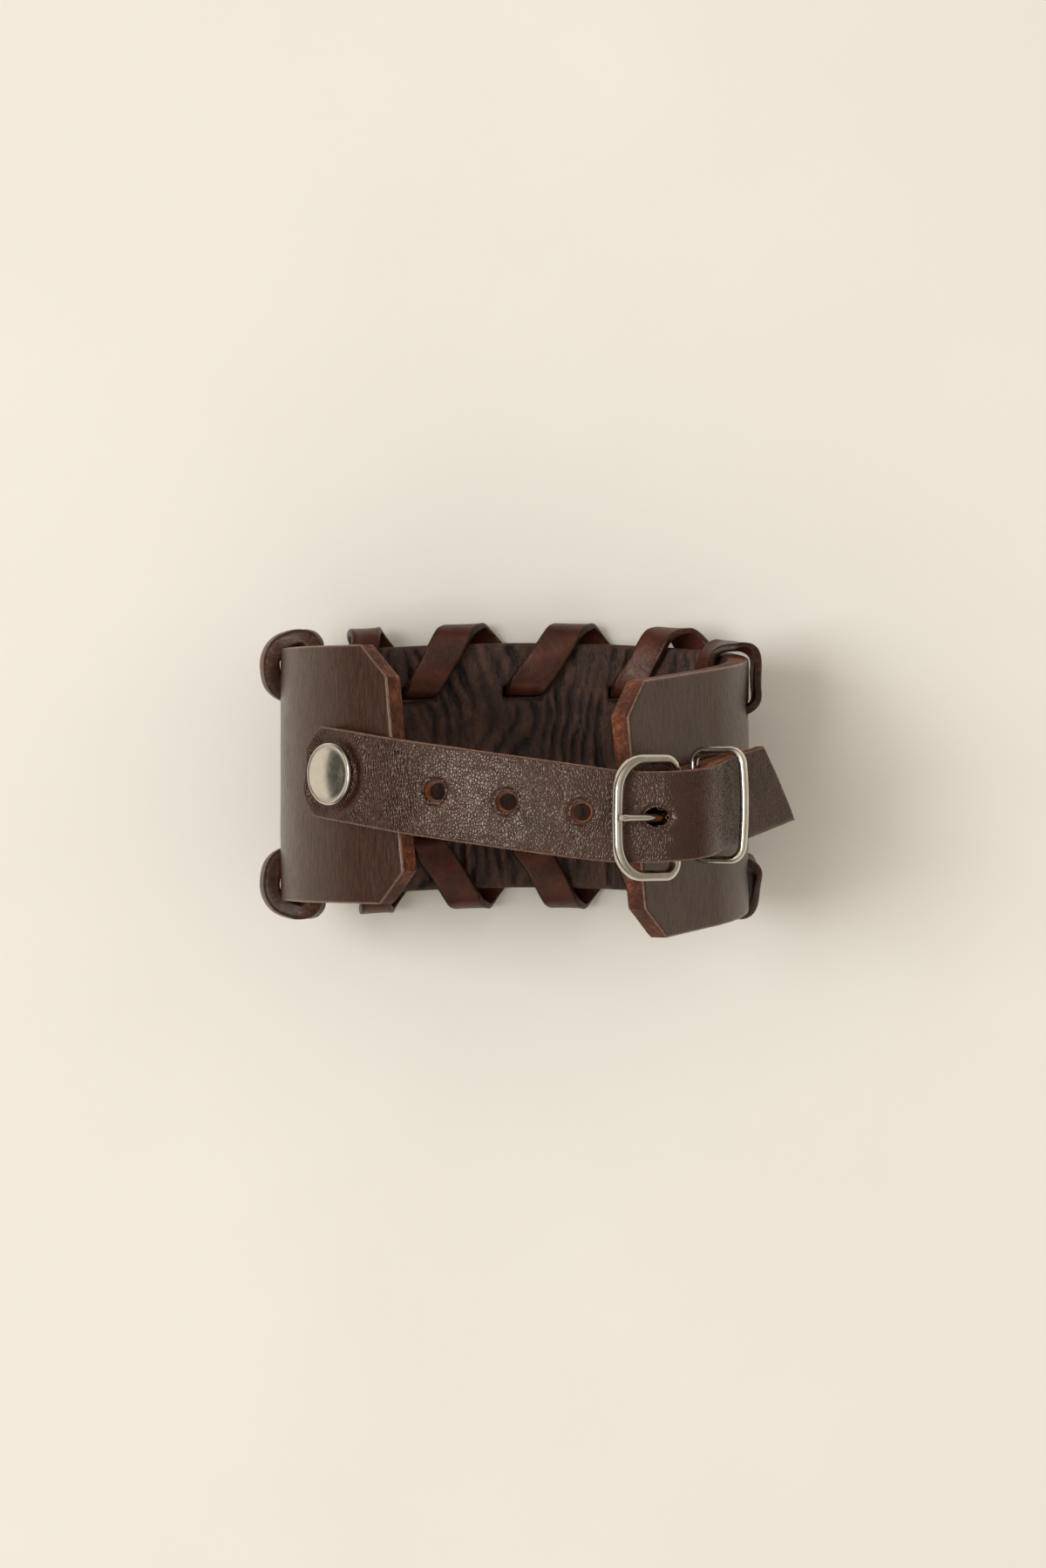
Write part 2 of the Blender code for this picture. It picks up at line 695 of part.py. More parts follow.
def main():
    for thing in list(bpy.data.objects):
        bpy.data.objects.remove(thing)
    leather = material("brown_leather", (0.075, 0.026, 0.017), 0.5)
    lace = material("lace_leather", (0.11, 0.035, 0.022), 0.45)
    strap = material("strap_leather", (0.085, 0.028, 0.018), 0.38)
    nickel = material("nickel", (0.78, 0.72, 0.63), 0.22, 1.0)

    make_band(leather)
    make_lace("lace_upper", 1, lace)
    make_lace("lace_lower", -1, lace)
    make_strap(strap)
    x, z, out_x, out_z = band_section(STRAP_RIVET)
    outer = STRAP_GAP + STRAP_THICKNESS
    y = band_drift(STRAP_RIVET)[0]
    place = Vector((x + outer * out_x, y, BAND_CLEARANCE + z + outer * out_z))
    make_rivet("strap_rivet", place, (out_x, 0, out_z), outer + BAND_THICKNESS, nickel)
    make_tab(leather)
    tab_top = TAB_RETURN[-1][1] * MM + TAB_THICKNESS / 2
    place = flap_point(TAB_RIVET_ALONG, tab_top, tab_rivet_y())
    outward = flap_point(0, 1, 0) - flap_point(0, 0, 0)
    make_rivet("tab_rivet", place, outward, tab_top + BAND_THICKNESS, nickel)
    make_frame(nickel)
    make_prong(nickel)
    make_keeper(nickel)
    rest_on_origin()


main()
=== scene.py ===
"""Looks of the laced leather wrist cuff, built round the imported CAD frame. Metres, +Z up."""

import math

import bpy
import numpy as np
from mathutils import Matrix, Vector, noise
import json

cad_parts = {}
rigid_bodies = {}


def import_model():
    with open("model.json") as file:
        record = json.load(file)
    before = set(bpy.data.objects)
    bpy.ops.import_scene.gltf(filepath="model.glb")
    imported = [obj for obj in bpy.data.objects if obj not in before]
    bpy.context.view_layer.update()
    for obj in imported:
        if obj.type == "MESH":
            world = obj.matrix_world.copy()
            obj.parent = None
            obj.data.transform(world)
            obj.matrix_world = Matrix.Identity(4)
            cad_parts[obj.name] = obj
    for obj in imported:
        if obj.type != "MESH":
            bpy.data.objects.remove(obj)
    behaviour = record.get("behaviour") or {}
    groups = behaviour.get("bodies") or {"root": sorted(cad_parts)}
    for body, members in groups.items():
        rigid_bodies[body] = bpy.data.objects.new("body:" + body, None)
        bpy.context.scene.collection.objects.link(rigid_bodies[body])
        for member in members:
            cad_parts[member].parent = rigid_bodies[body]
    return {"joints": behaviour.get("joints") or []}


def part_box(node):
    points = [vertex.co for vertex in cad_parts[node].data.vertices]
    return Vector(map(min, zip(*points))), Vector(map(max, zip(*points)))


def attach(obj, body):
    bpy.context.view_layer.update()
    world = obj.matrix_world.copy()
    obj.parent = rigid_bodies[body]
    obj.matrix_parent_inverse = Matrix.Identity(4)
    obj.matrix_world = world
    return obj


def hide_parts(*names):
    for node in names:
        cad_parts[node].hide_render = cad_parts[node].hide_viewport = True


MM = 0.001
SIDEWAYS = Vector((0.0, 1.0, 0.0))
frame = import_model()
SCENE_OBJECTS = bpy.context.scene.collection.objects
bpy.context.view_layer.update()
JOINTS = {joint["name"]: joint for joint in frame["joints"]}

# ---- sizes: the CAD's, with tighter slits and a tighter hole in use
BAND_THICKNESS = 3.0 * MM
BAND_WIDTH = 35.0 * MM
BAND_CLEARANCE = 2.1 * MM
BAND_CHAMFER = 4.5 * MM
RIGHT_PROFILE = ((11.55 * MM, 0), (20.0 * MM * math.pi / 2, 90), (17.3 * MM, 36), (18.7 * MM, 0))
LEFT_PROFILE = (
    (13.9 * MM, 0), (20.0 * MM * math.pi / 2, 90), (25.3 * MM, 44), (3.2 * MM, 6), (6.6 * MM, 0),
)
RIGHT_SKEW = math.radians(6.2)
RIGHT_SKEW_LENGTH = 36.0 * MM
LEFT_SHIFT = 1.35 * MM
LEFT_SHIFT_LENGTH = 40.0 * MM
RIGHT_CUT_SLANT = math.radians(3.0)
LEFT_CUT_SLANT = math.radians(6.5)
CUT_SLANT_LENGTH = 22 * MM

LACE_WIDTH = 5.0 * MM
LACE_THICKNESS = 1.3 * MM
LACE_PITCH = 14.7 * MM
SLIT_FROM_EDGE = 7.0 * MM
SLIT_LENGTH = 5.5 * MM
SLIT_WIDTH = 1.8 * MM
SLITS_EACH_WAY = 3
LACE_CORNER = 0.42 * MM
LACE_STEPS = 6
LACE_WAVER = 0.05
LACE_UV_STEP = 0.1
RIBBON_FACE = (0.0, 0.3, 0.55, 0.78, 0.93)
RIBBON_CORNER = (20, 45, 70, 90)
RIBBON_CROWN = 0.12
RIBBON_CORNER_RISE = 0.9

STRAP_WIDTH = 12.4 * MM
STRAP_THICKNESS = 1.8 * MM
STRAP_GAP = 0.3 * MM
STRAP_END = 5.4 * MM
STRAP_TAIL = 72.0 * MM
TAIL_LONG = 0.8 * MM
TAIL_SHORT = 3.4 * MM
TAIL_HALF_WIDTH = 5.6 * MM
TAPER_START = 36.0 * MM
STRAP_CLIP = 2.6 * MM
CLIP_SLANT = 1.4
CLIP_CURVE = 1.35
TAIL_SLANT_LENGTH = 12 * MM
STRAP_RIVET_FROM_TIP = 9.6 * MM
HOLE_RADIUS = 1.55 * MM
HOLE_SNAP = 1.45
HOLE_TAPER = 0.3
HOLE_TAPER_REACH = 0.3 * MM
BUCKLED_RADIUS = 1.3 * MM
BUCKLED_STRETCH = 1.25
HOLE_PITCH = 9.9 * MM
BUCKLED_HOLE = 46.7 * MM
HOLE_COUNT = 4
POST_HOLE = 1.9 * MM
STRAP_PROFILE = (
    (6.9 * MM, -18), (22.4 * MM, -22), (8.4 * MM, 0), (6.6 * MM, -62), (3.3 * MM, 0),
    (4.9 * MM, 14), (12.0 * MM, 0),
)
STRAP_DRIFT = (
    (-6 * MM, -7.9), (38.4 * MM, -7.9), (44.9 * MM, 0), (57.4 * MM, 13.3), (80 * MM, 13.3),
)
DRIFT_STEPS = 60

CAP_RADIUS = 4.25 * MM
CAP_RIM = 0.5 * MM
CAP_DOME = 0.45 * MM
BACK_DOME = 0.6 * MM
ROLL_RADIUS = 0.26 * MM
ROLL_CENTER = 0.30 * MM
ROLL_STEPS = 8
UNDERSIDE_INSET = 0.12 * MM
GROOVE_INSET = 0.55 * MM
GROOVE_RISE = 0.47 * MM
DOME_STEPS = 12
RIVET_GAP = 0.3 * MM
BACK_CAP_GAP = 0.25 * MM
STRAP_CAP_BASE = 0.02 * MM
TAB_CAP_BASE = 0.05 * MM

BAR_PLACE = (-0.84 * MM, 5.57 * MM)
BUCKLE_Y = -7.17 * MM
BAR_RADIUS = 0.75 * MM
FRAME_LENGTH = 10.2 * MM
FRAME_HALF_HEIGHT = 7.7 * MM
FRAME_TILT = math.radians(43.0)
FRAME_REACH = Vector((-math.cos(FRAME_TILT), 0.0, math.sin(FRAME_TILT)))
FRAME_LIFT = Vector((math.sin(FRAME_TILT), 0.0, math.cos(FRAME_TILT)))
FRAME_OUTER_CORNER = 4.0 * MM
FRAME_BAR_CORNER = 1.9 * MM
FRAME_BOW = 0.55 * MM
FRAME_STEPS = (12, 14)
FRAME_FLATTENING = (0.95, 0.86)
PRONG_RADIUS = 0.6 * MM
PRONG_EYE = 1.55 * MM
PRONG_EYE_START = 132
PRONG_EYE_TURN = -318
PRONG_EYE_STEPS = 21
PRONG_STEPS = 4
PRONG_SIDES = 24
PRONG_OVER_RAIL = 0.1 * MM
PRONG_KNEE = (4.2 * MM, 1.3 * MM)
PRONG_BEFORE_RAIL = 1.5 * MM
PRONG_PAST_RAIL = 0.7 * MM
PRONG_TAPER = 0.16
PRONG_END = 0.8
TAB_WIDTH = 11.0 * MM
TAB_THICKNESS = 1.5 * MM
TAB_SKEW = 0.16
TAB_RIVET_ALONG = -16.0 * MM
TAB_RISE = ((-21.0, 1.05), (-16.0, 1.05), (-11.5, 1.05), (-8.0, 1.35), (-4.0, 2.7))
TAB_RETURN = ((-4.6, 7.1), (-8.0, 5.75), (-10.2, 3.8), (-12.4, 2.95), (-16.0, 2.9), (-21.0, 2.9))
TAB_WRAP_RADIUS = 1.85 * MM
TAB_WRAP = (-75, 106, 20)
TAB_PATH_STEPS = 4
TAB_SLOT_LENGTH = 11.0 * MM
TAB_SLOT_WIDTH = 2.4 * MM
TAB_SLOT_SHIFT = -0.3 * MM
KEEPER_RADIUS = 0.6 * MM
KEEPER_STEPS = (10, 12)
KEEPER_FLATTENING = 0.85
KEEPER_LOWER = (-8.5 * MM, 3.35 * MM)
KEEPER_UPPER = (-8.5 * MM, 11.05 * MM)
KEEPER_HALF_HEIGHT = 7.35 * MM
KEEPER_CORNER = 1.8 * MM
KEEPER_BOW = 0.5 * MM

# ---- detail the CAD leaves out
# Cut edges: steps of the mesh near them, how far in they are rounded and rubbed (rubbed edges are
# painted lighter, partly as real rubbing and partly as a painted highlight), and the levels of
# their side walls as shares of the thickness.
EDGE_STEPS = (0.12 * MM, 0.32 * MM, 0.62 * MM)
EDGE_LEVELS = (-0.16, -0.4, -0.64, -0.86)
EDGE_WOBBLE = 0.05 * MM
ROUNDING = 0.42 * MM
ROUNDING_DEPTH = 0.6
EDGE_WEAR_AND_HIGHLIGHT_WIDTH = 0.24 * MM
FLAT_RIM = 0.9 * MM
BAND_STEPS = (0.36 * MM, 0.62 * MM)
STRAP_STEP = 0.32 * MM
TAB_STEPS = (0.45 * MM, 0.5 * MM)
SHEET_UNIT = 0.01

# Folds of the band's flesh side: (pitch, run across the band, depth, seed).
FOLDS = (2.4 * MM, 13.0 * MM, 0.85 * MM, 1.7)
SMALL_FOLDS = (1.3 * MM, 7.0 * MM, 0.3 * MM, 8.3)
SMALL_FOLD_SHADE = 0.45
FLESH_ROUGHNESS = 0.1 * MM
FLESH_LEVEL = 0.3 * MM

# Relief of the faces, as (height, width) of each soft ridge or dent.
BAND_RIPPLE = 0.07 * MM
UNDER_STRAP_DENT = (-0.12 * MM, 1.2 * MM)
CAP_DENT = (-0.42 * MM, 0.85 * MM)
CAP_SWELL = (0.20 * MM, 0.7 * MM)
HOLE_LIP = (0.07 * MM, 0.4 * MM)
HOLE_DISH = (-0.26 * MM, 0.2 * MM)
EDGE_GROOVE = (-0.07 * MM, 0.16 * MM)
STRAP_CREASES = (2.0 * MM, 9.0 * MM, 0.07 * MM, 4.4)
CREASED_FROM = (21 * MM, 27 * MM)
CREASED_UNTIL = (36 * MM, 41 * MM)
STRAP_CROWN = 0.22 * MM
STRAP_LEVEL = 0.12 * MM

WIRE_SIDES = 28
WIRE_SOFTNESS = 0.72
TURNED_SEGMENTS = 96


# ---- the bent sheets
def along_profile(length, profile, start=(0.0, 0.0), heading=0.0):
    """Point and heading at a length along a chain of arcs and straight runs."""
    x, z = start
    for run, degrees in profile:
        part = length if (run, degrees) == profile[-1] else min(length, run)
        turn = math.radians(degrees) * part / run
        if degrees:
            radius = part / turn if part else 0.0
            x += radius * (math.sin(heading + turn) - math.sin(heading))
            z += radius * (math.cos(heading) - math.cos(heading + turn))
        else:
            x += part * math.cos(heading)
            z += part * math.sin(heading)
        heading += turn
        length -= part
        if length <= 0:
            break
    return x, z, heading


def profile_length(profile):
    return sum(run for run, _ in profile)


RIGHT_TIP = profile_length(RIGHT_PROFILE)
LEFT_TIP = profile_length(LEFT_PROFILE)
STRAP_RIVET = -(LEFT_TIP - STRAP_RIVET_FROM_TIP)


def band_drift(along):
    if along > 0:
        ramp = min(along, RIGHT_SKEW_LENGTH)
        slope = -math.tan(RIGHT_SKEW) * ramp / RIGHT_SKEW_LENGTH
        return slope * ramp / 2 - math.tan(RIGHT_SKEW) * (along - ramp), math.atan(slope)
    share = min(-along / LEFT_SHIFT_LENGTH, 1.0)
    slope = LEFT_SHIFT * 6 * share * (1 - share) / LEFT_SHIFT_LENGTH
    return -LEFT_SHIFT * share * share * (3 - 2 * share), math.atan(slope)


def band_section(along):
    if along >= 0:
        x, z, heading = along_profile(along, RIGHT_PROFILE)
        return x, z, math.sin(heading), -math.cos(heading)
    x, z, heading = along_profile(-along, LEFT_PROFILE)
    return -x, z, -math.sin(heading), -math.cos(heading)


def flap_place(along, out, y):
    """A place over the right flap's straight run, before the shift to the frame's origin."""
    x, z, out_x, out_z = band_section(RIGHT_TIP)
    tip = Vector((x, 0.0, BAND_CLEARANCE + z))
    place = tip + Vector((-out_z, 0.0, out_x)) * along + Vector((out_x, 0.0, out_z)) * out
    return Vector((place.x, y, place.z))


# The CAD's origin is the middle of its footprint; the bar's hinge says how far that moved it.
BAR = Vector(JOINTS["buckle_tilt"]["pos_m"])
BAND_LOW, BAND_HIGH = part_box("cuff_band")
SHIFT = BAR - flap_place(*BAR_PLACE, BUCKLE_Y)
SHIFT.z = BAND_LOW.z - BAND_CLEARANCE
SHIFT.y = BAND_HIGH.y - BAND_WIDTH / 2


def flap_point(along, out, y):
    return flap_place(along, out, y) + SHIFT


def bend_band(along, across, out):
    shift, direction = band_drift(along)
    x, z, out_x, out_z = band_section(along - across * math.sin(direction))
    y = shift + across * math.cos(direction)
    return Vector((x + out * out_x, y, BAND_CLEARANCE + z + out * out_z)) + SHIFT


def strap_section(along):
    if along <= STRAP_RIVET_FROM_TIP:
        x, z, out_x, out_z = band_section(STRAP_RIVET - along)
        return x + STRAP_GAP * out_x, z + STRAP_GAP * out_z, out_x, out_z
    x, z, out_x, out_z = band_section(-LEFT_TIP)
    start = (x + STRAP_GAP * out_x, z + STRAP_GAP * out_z)
    heading = math.atan2(-out_x, out_z)
    x, z, heading = along_profile(along - STRAP_RIVET_FROM_TIP, STRAP_PROFILE, start, heading)
    return x, z, -math.sin(heading), math.cos(heading)


def strap_direction(along):
    for (low, before), (high, after) in zip(STRAP_DRIFT, STRAP_DRIFT[1:]):
        if along <= high:
            share = max(0.0, (along - low) / (high - low))
            return math.radians(before + (after - before) * share)
    return math.radians(STRAP_DRIFT[-1][1])


def strap_center(along):
    run, y = 0.0, band_drift(STRAP_RIVET)[0]
    for index in range(DRIFT_STEPS):
        direction = strap_direction(along * (index + 0.5) / DRIFT_STEPS)
        run += along / DRIFT_STEPS * math.cos(direction)
        y += along / DRIFT_STEPS * math.sin(direction)
    return run, y


STRAP_CENTERS = {}


def bend_strap(along, across, out):
    """Strap sheet coordinates to the frame; the top face is at out = 0."""
    if along not in STRAP_CENTERS:
        STRAP_CENTERS[along] = (*strap_center(along), strap_direction(along))
    run, y, direction = STRAP_CENTERS[along]
    x, z, up_x, up_z = strap_section(run - across * math.sin(direction))
    lift = out + STRAP_THICKNESS
    y += across * math.cos(direction)
    return Vector((x + lift * up_x, y, BAND_CLEARANCE + z + lift * up_z)) + SHIFT


def smooth_path(points, steps):
    """Points along a Catmull-Rom curve through the given points."""
    ends = [points[0] * 2 - points[1], *points, points[-1] * 2 - points[-2]]
    path = []
    for a, b, c, d in zip(ends, ends[1:], ends[2:], ends[3:]):
        for step in range(steps):
            t = step / steps
            path.append(
                0.5 * (2 * b + (c - a) * t + (2 * a - 5 * b + 4 * c - d) * t**2)
                + 0.5 * (3 * b - a - 3 * c + d) * t**3
            )
    return [*path, points[-1]]


def tangent_at(path, index):
    return (path[min(index + 1, len(path) - 1)] - path[max(index - 1, 0)]).normalized()


# ---- small mesh tools
def smoothstep(value, low, high):
    share = min(max((value - low) / (high - low), 0.0), 1.0)
    return share * share * (3 - 2 * share)


def bell(value, middle, width):
    """A soft bump of height 1 round the middle."""
    return math.exp(-(((value - middle) / width) ** 2))


def mesh_object(name, points, faces, kinds, materials, uvs, wear_highlight_and_fold_shade=None):
    """A smooth object; kinds gives each face's material, uvs a sheet place for each point.

    The last argument gives each point a mark from 0 to 1. On the outer face it is how rubbed its
    edge is, which the grain finishes paint lighter, partly as real rubbing and partly as a painted
    highlight. On the inner face it is how deep in a fold the point is, which the flesh finish
    paints dark as shade.
    """
    mesh = bpy.data.meshes.new(name)
    mesh.from_pydata(points, [], faces)
    for finish in materials:
        mesh.materials.append(finish)
    mesh.polygons.foreach_set("material_index", kinds)
    layer = mesh.uv_layers.new(name="Sheet")
    corner = np.empty(len(mesh.loops), np.int32)
    mesh.loops.foreach_get("vertex_index", corner)
    layer.data.foreach_set("uv", np.asarray(uvs, np.float32)[corner].ravel())
    marks = mesh.attributes.new("wear_highlight_and_fold_shade", "FLOAT", "POINT")
    marks.data.foreach_set("value", wear_highlight_and_fold_shade or [0.0] * len(points))
    mesh.shade_smooth()
    made = bpy.data.objects.new(name, mesh)
    SCENE_OBJECTS.link(made)
    return made


def ladder(low, high, step):
    """Evenly spaced places from low to high, with finer ones at both ends."""
    fine, margin = EDGE_STEPS[:-1], EDGE_STEPS[-1]
    count = max(1, round((high - low - 2 * margin) / step))
    inner_low, inner_high = low + margin, high - margin
    middle = [inner_low + (inner_high - inner_low) * i / count for i in range(count + 1)]
    return [low, *(low + e for e in fine), *middle, *(high - e for e in fine[::-1]), high]


def snapped(places, targets):
    """The places, with the nearest one moved onto each target."""
    places = list(places)
    for target in targets:
        nearest = min(range(len(places)), key=lambda i: abs(places[i] - target))
        places[nearest] = target
    return sorted(set(places))


def sheet_piece(
    name, columns, rows, place, keep, surface, bend, thickness, materials, bare, move=None
):
    """A leather piece with rounded edges, from a grid on its flat sheet.

    place gives (along, across) of a grid point, keep says which cells stay, move may pull a
    point onto a hole's edge, surface gives the outer face's height, the inner face's height
    and how deep in a fold the inner face is (painted dark as shade by the flesh finish), and bare
    says where an edge is not rubbed, so it gets no lighter colour of rubbing and painted highlight.
    """
    across_count = len(rows)
    flat = {}
    for i, column in enumerate(columns):
        for j, row in enumerate(rows):
            flat[i, j] = place(column, row)
    cells = set()
    for i in range(len(columns) - 1):
        for j in range(across_count - 1):
            corners = [flat[i, j], flat[i + 1, j], flat[i + 1, j + 1], flat[i, j + 1]]
            middle = (sum(c[0] for c in corners) / 4, sum(c[1] for c in corners) / 4)
            if keep(*middle):
                cells.add((i, j))
    used = set()
    border = {}
    for i, j in cells:
        sides = (
            ((i, j), (i + 1, j), (i, j - 1)),
            ((i + 1, j), (i + 1, j + 1), (i + 1, j)),
            ((i + 1, j + 1), (i, j + 1), (i, j + 1)),
            ((i, j + 1), (i, j), (i - 1, j)),
        )
        used.update(side[0] for side in sides)
        for first, second, neighbour in sides:
            if neighbour not in cells:
                border[first] = second
    on_border = set(border) | set(border.values())
    if move:
        for key in used:
            flat[key] = move(*flat[key], key in on_border)
    rim = np.array([flat[key] for key in on_border])
    points, uvs, wear_highlight_and_fold_shade, outer, inner, sides = [], [], [], {}, {}, {}

    def add(along, across, out, wear_highlight_and_fold_shade_mask=0.0):
        points.append(bend(along, across, out))
        uvs.append((along / SHEET_UNIT, across / SHEET_UNIT))
        wear_highlight_and_fold_shade.append(wear_highlight_and_fold_shade_mask)
        return len(points) - 1

    for key in used:
        along, across = flat[key]
        gap = np.hypot(rim[:, 0] - along, rim[:, 1] - across).min()
        share = max(0.0, 1 - gap / ROUNDING)
        dip = ROUNDING * ROUNDING_DEPTH * (1 - math.sqrt(1 - share * share))
        high, low, depth = surface(along, across)
        # How rubbed this edge is: the grain finishes paint it lighter, partly as real rubbing and
        # partly as a painted highlight.
        edge_wear_and_highlight = 0.0 if bare(along, across) else max(0.0, 1 - gap / EDGE_WEAR_AND_HIGHLIGHT_WIDTH)
        inside = smoothstep(gap, 0.0, FLAT_RIM)
        outer[key] = add(along, across, high - dip, edge_wear_and_highlight)
        # The inner face's mark is its fold depth, which the flesh finish paints dark as shade.
        inner[key] = add(along, across, -thickness + low * inside + dip, depth * inside)
        if key in on_border:
            wobble = EDGE_WOBBLE * noise.noise(Vector((along, across, 0.3)) * 900)
            levels = [thickness * level + wobble for level in EDGE_LEVELS]
            sides[key] = [add(along, across, level) for level in levels]
    faces, kinds = [], []
    for i, j in cells:
        ring = ((i, j), (i + 1, j), (i + 1, j + 1), (i, j + 1))
        faces.append([outer[key] for key in ring])
        faces.append([inner[key] for key in ring[::-1]])
        kinds += [0, 2]
    for first, second in border.items():
        down_first = [outer[first], *sides[first], inner[first]]
        down_second = [outer[second], *sides[second], inner[second]]
        for a, b, c, d in zip(down_first, down_first[1:], down_second[1:], down_second):
            faces.append((a, b, c, d))
            kinds.append(1)
    made = mesh_object(name, points, faces, kinds, materials, uvs, wear_highlight_and_fold_shade)
    turn_outwards(made)
    return made


def turn_outwards(made):
    """Flips a closed mesh whose faces point in."""
    mesh = made.data
    mesh.calc_loop_triangles()
    corners = np.array([[mesh.vertices[i].co[:] for i in t.vertices] for t in mesh.loop_triangles])
    if np.linalg.det(corners).sum() < 0:
        mesh.flip_normals()


def sweep(name, sections, finish, closed, uv_step=1.0):
    """A closed skin over rings of points. Each section is that ring's points."""
    points, uvs, faces = [], [], []
    size = len(sections[0])
    for index, ring in enumerate(sections):
        for k, point in enumerate(ring):
            points.append(point)
            uvs.append((index * uv_step, k / size))
    count = len(sections)
    for index in range(count if closed else count - 1):
        after = (index + 1) % count
        for k in range(size):
            m = (k + 1) % size
            row, below = index * size, after * size
            faces.append((row + k, row + m, below + m, below + k))
    if not closed:
        faces.append(tuple(range(size))[::-1])
        faces.append(tuple((count - 1) * size + k for k in range(size)))
    made = mesh_object(name, points, faces, [0] * len(faces), [finish], uvs)
    turn_outwards(made)
    return made


def turned_piece(name, profile, place, outward, finish):
    """A turned solid from (radius, height) points that start and end on the axis."""
    segments = TURNED_SEGMENTS
    turn = outward.to_track_quat("Z", "Y")
    points, faces, uvs = [], [], []
    for radius, height in profile[1:-1]:
        for k in range(segments):
            angle = math.tau * k / segments
            spot = Vector((radius * math.cos(angle), radius * math.sin(angle), height))
            points.append(place + turn @ spot)
            uvs.append((radius / MM, k / segments))
    rows = len(profile) - 2
    for row in range(rows - 1):
        for k in range(segments):
            m = (k + 1) % segments
            a, b = row * segments, (row + 1) * segments
            faces.append((a + k, a + m, b + m, b + k))
    for end, row in ((profile[0], 0), (profile[-1], rows - 1)):
        points.append(place + turn @ Vector((0.0, 0.0, end[1])))
        uvs.append((0.0, 0.0))
        hub = len(points) - 1
        for k in range(segments):
            m = (k + 1) % segments
            pair = (row * segments + m, row * segments + k)
            faces.append((hub, *pair) if row == 0 else (hub, *pair[::-1]))
    made = mesh_object(name, points, faces, [0] * len(faces), [finish], uvs)
    turn_outwards(made)
    made.data.set_sharp_from_angle(angle=math.radians(40))
    return made


# ---- materials
class Nodes:
    """Short names for building a material's nodes."""

    def __init__(self, name):
        self.material = bpy.data.materials.new(name)
        self.material.use_nodes = True
        self.tree = self.material.node_tree
        self.shader = self.tree.nodes["Principled BSDF"]

    def add(self, kind, **settings):
        made = self.tree.nodes.new(kind)
        for key, value in settings.items():
            setattr(made, key, value)
        return made

    def link(self, source, target):
        self.tree.links.new(source, target)

    def stretched(self, vector, scale):
        mapping = self.add("ShaderNodeMapping")
        mapping.inputs["Scale"].default_value = scale
        self.link(vector, mapping.inputs["Vector"])
        return mapping.outputs["Vector"]

    def sheet(self, scale):
        """The piece's sheet coordinates in centimetres, stretched by scale."""
        uv = self.add("ShaderNodeUVMap", uv_map="Sheet")
        return self.stretched(uv.outputs["UV"], scale)

    def place(self, scale):
        """Object coordinates, stretched by scale."""
        coordinate = self.add("ShaderNodeTexCoord")
        return self.stretched(coordinate.outputs["Object"], scale)

    def noise(self, vector, detail, roughness, distortion=0.0):
        made = self.add("ShaderNodeTexNoise")
        made.inputs["Scale"].default_value = 1.0
        made.inputs["Detail"].default_value = detail
        made.inputs["Roughness"].default_value = roughness
        made.inputs["Distortion"].default_value = distortion
        self.link(vector, made.inputs["Vector"])
        return made.outputs["Fac"]

    def cracks(self, vector):
        """Distance to the nearest line of a net of cracks."""
        made = self.add("ShaderNodeTexVoronoi", feature="DISTANCE_TO_EDGE")
        made.inputs["Scale"].default_value = 1.0
        self.link(vector, made.inputs["Vector"])
        return made.outputs["Distance"]

    def ramp(self, value, *stops):
        made = self.add("ShaderNodeValToRGB")
        elements = made.color_ramp.elements
        while len(elements) < len(stops):
            elements.new(0.5)
        for element, (position, color) in zip(elements, stops):
            element.position = position
            element.color = (*color, 1.0) if isinstance(color, tuple) else (color, color, color, 1)
        self.link(value, made.inputs["Fac"])
        return made.outputs["Color"]

    def feed(self, source, socket):
        """Links an output to a socket, or sets the socket to a number or a colour."""
        if isinstance(source, (int, float)):
            socket.default_value = source
        elif isinstance(source, tuple):
            socket.default_value = (*source, 1.0)
        else:
            self.link(source, socket)

    def mix(self, share, first, second):
        made = self.add("ShaderNodeMix", data_type="RGBA")
        self.feed(share, made.inputs[0])
        self.feed(first, made.inputs[6])
        self.feed(second, made.inputs[7])
        return made.outputs[2]

    def math(self, operation, first, second):
        made = self.add("ShaderNodeMath", operation=operation)
        self.feed(first, made.inputs[0])
        self.feed(second, made.inputs[1])
        return made.outputs[0]

    def bump(self, *layers):
        """Stacks (height, distance in metres, strength) layers of bump."""
        normal = None
        for height, distance, strength in layers:
            made = self.add("ShaderNodeBump")
            made.inputs["Strength"].default_value = strength
            made.inputs["Distance"].default_value = distance
            self.link(height, made.inputs["Height"])
            if normal:
                self.link(normal, made.inputs["Normal"])
            normal = made.outputs["Normal"]
        self.link(normal, self.shader.inputs["Normal"])

    def finish(self, color, roughness, **values):
        self.feed(color, self.shader.inputs["Base Color"])
        self.feed(roughness, self.shader.inputs["Roughness"])
        for key, value in values.items():
            self.shader.inputs[key.replace("_", " ")].default_value = value
        return self.material


# Linear colours; the groups of three go from dark to light.
LEATHER_SHEEN = (1.0, 0.86, 0.74, 1.0)
BROWN = ((0.026, 0.0085, 0.0048), (0.046, 0.0155, 0.0088), (0.068, 0.026, 0.016))
STRAP_BROWN = ((0.020, 0.0055, 0.003), (0.036, 0.0105, 0.0058), (0.052, 0.0165, 0.0098))
FLESH_BROWN = ((0.026, 0.011, 0.007), (0.048, 0.019, 0.0115), (0.12, 0.055, 0.037))
BAND_CUT = ((0.036, 0.009, 0.005), (0.17, 0.046, 0.018), (0.42, 0.15, 0.07))
STRAP_CUT = ((0.06, 0.015, 0.006), (0.27, 0.075, 0.02), (0.52, 0.19, 0.06))
LACE_BROWN = ((0.032, 0.009, 0.006), (0.064, 0.0155, 0.0088), (0.108, 0.031, 0.018))
LACE_CUT = ((0.014, 0.0048, 0.0032), (0.046, 0.015, 0.0075), (0.17, 0.062, 0.028))
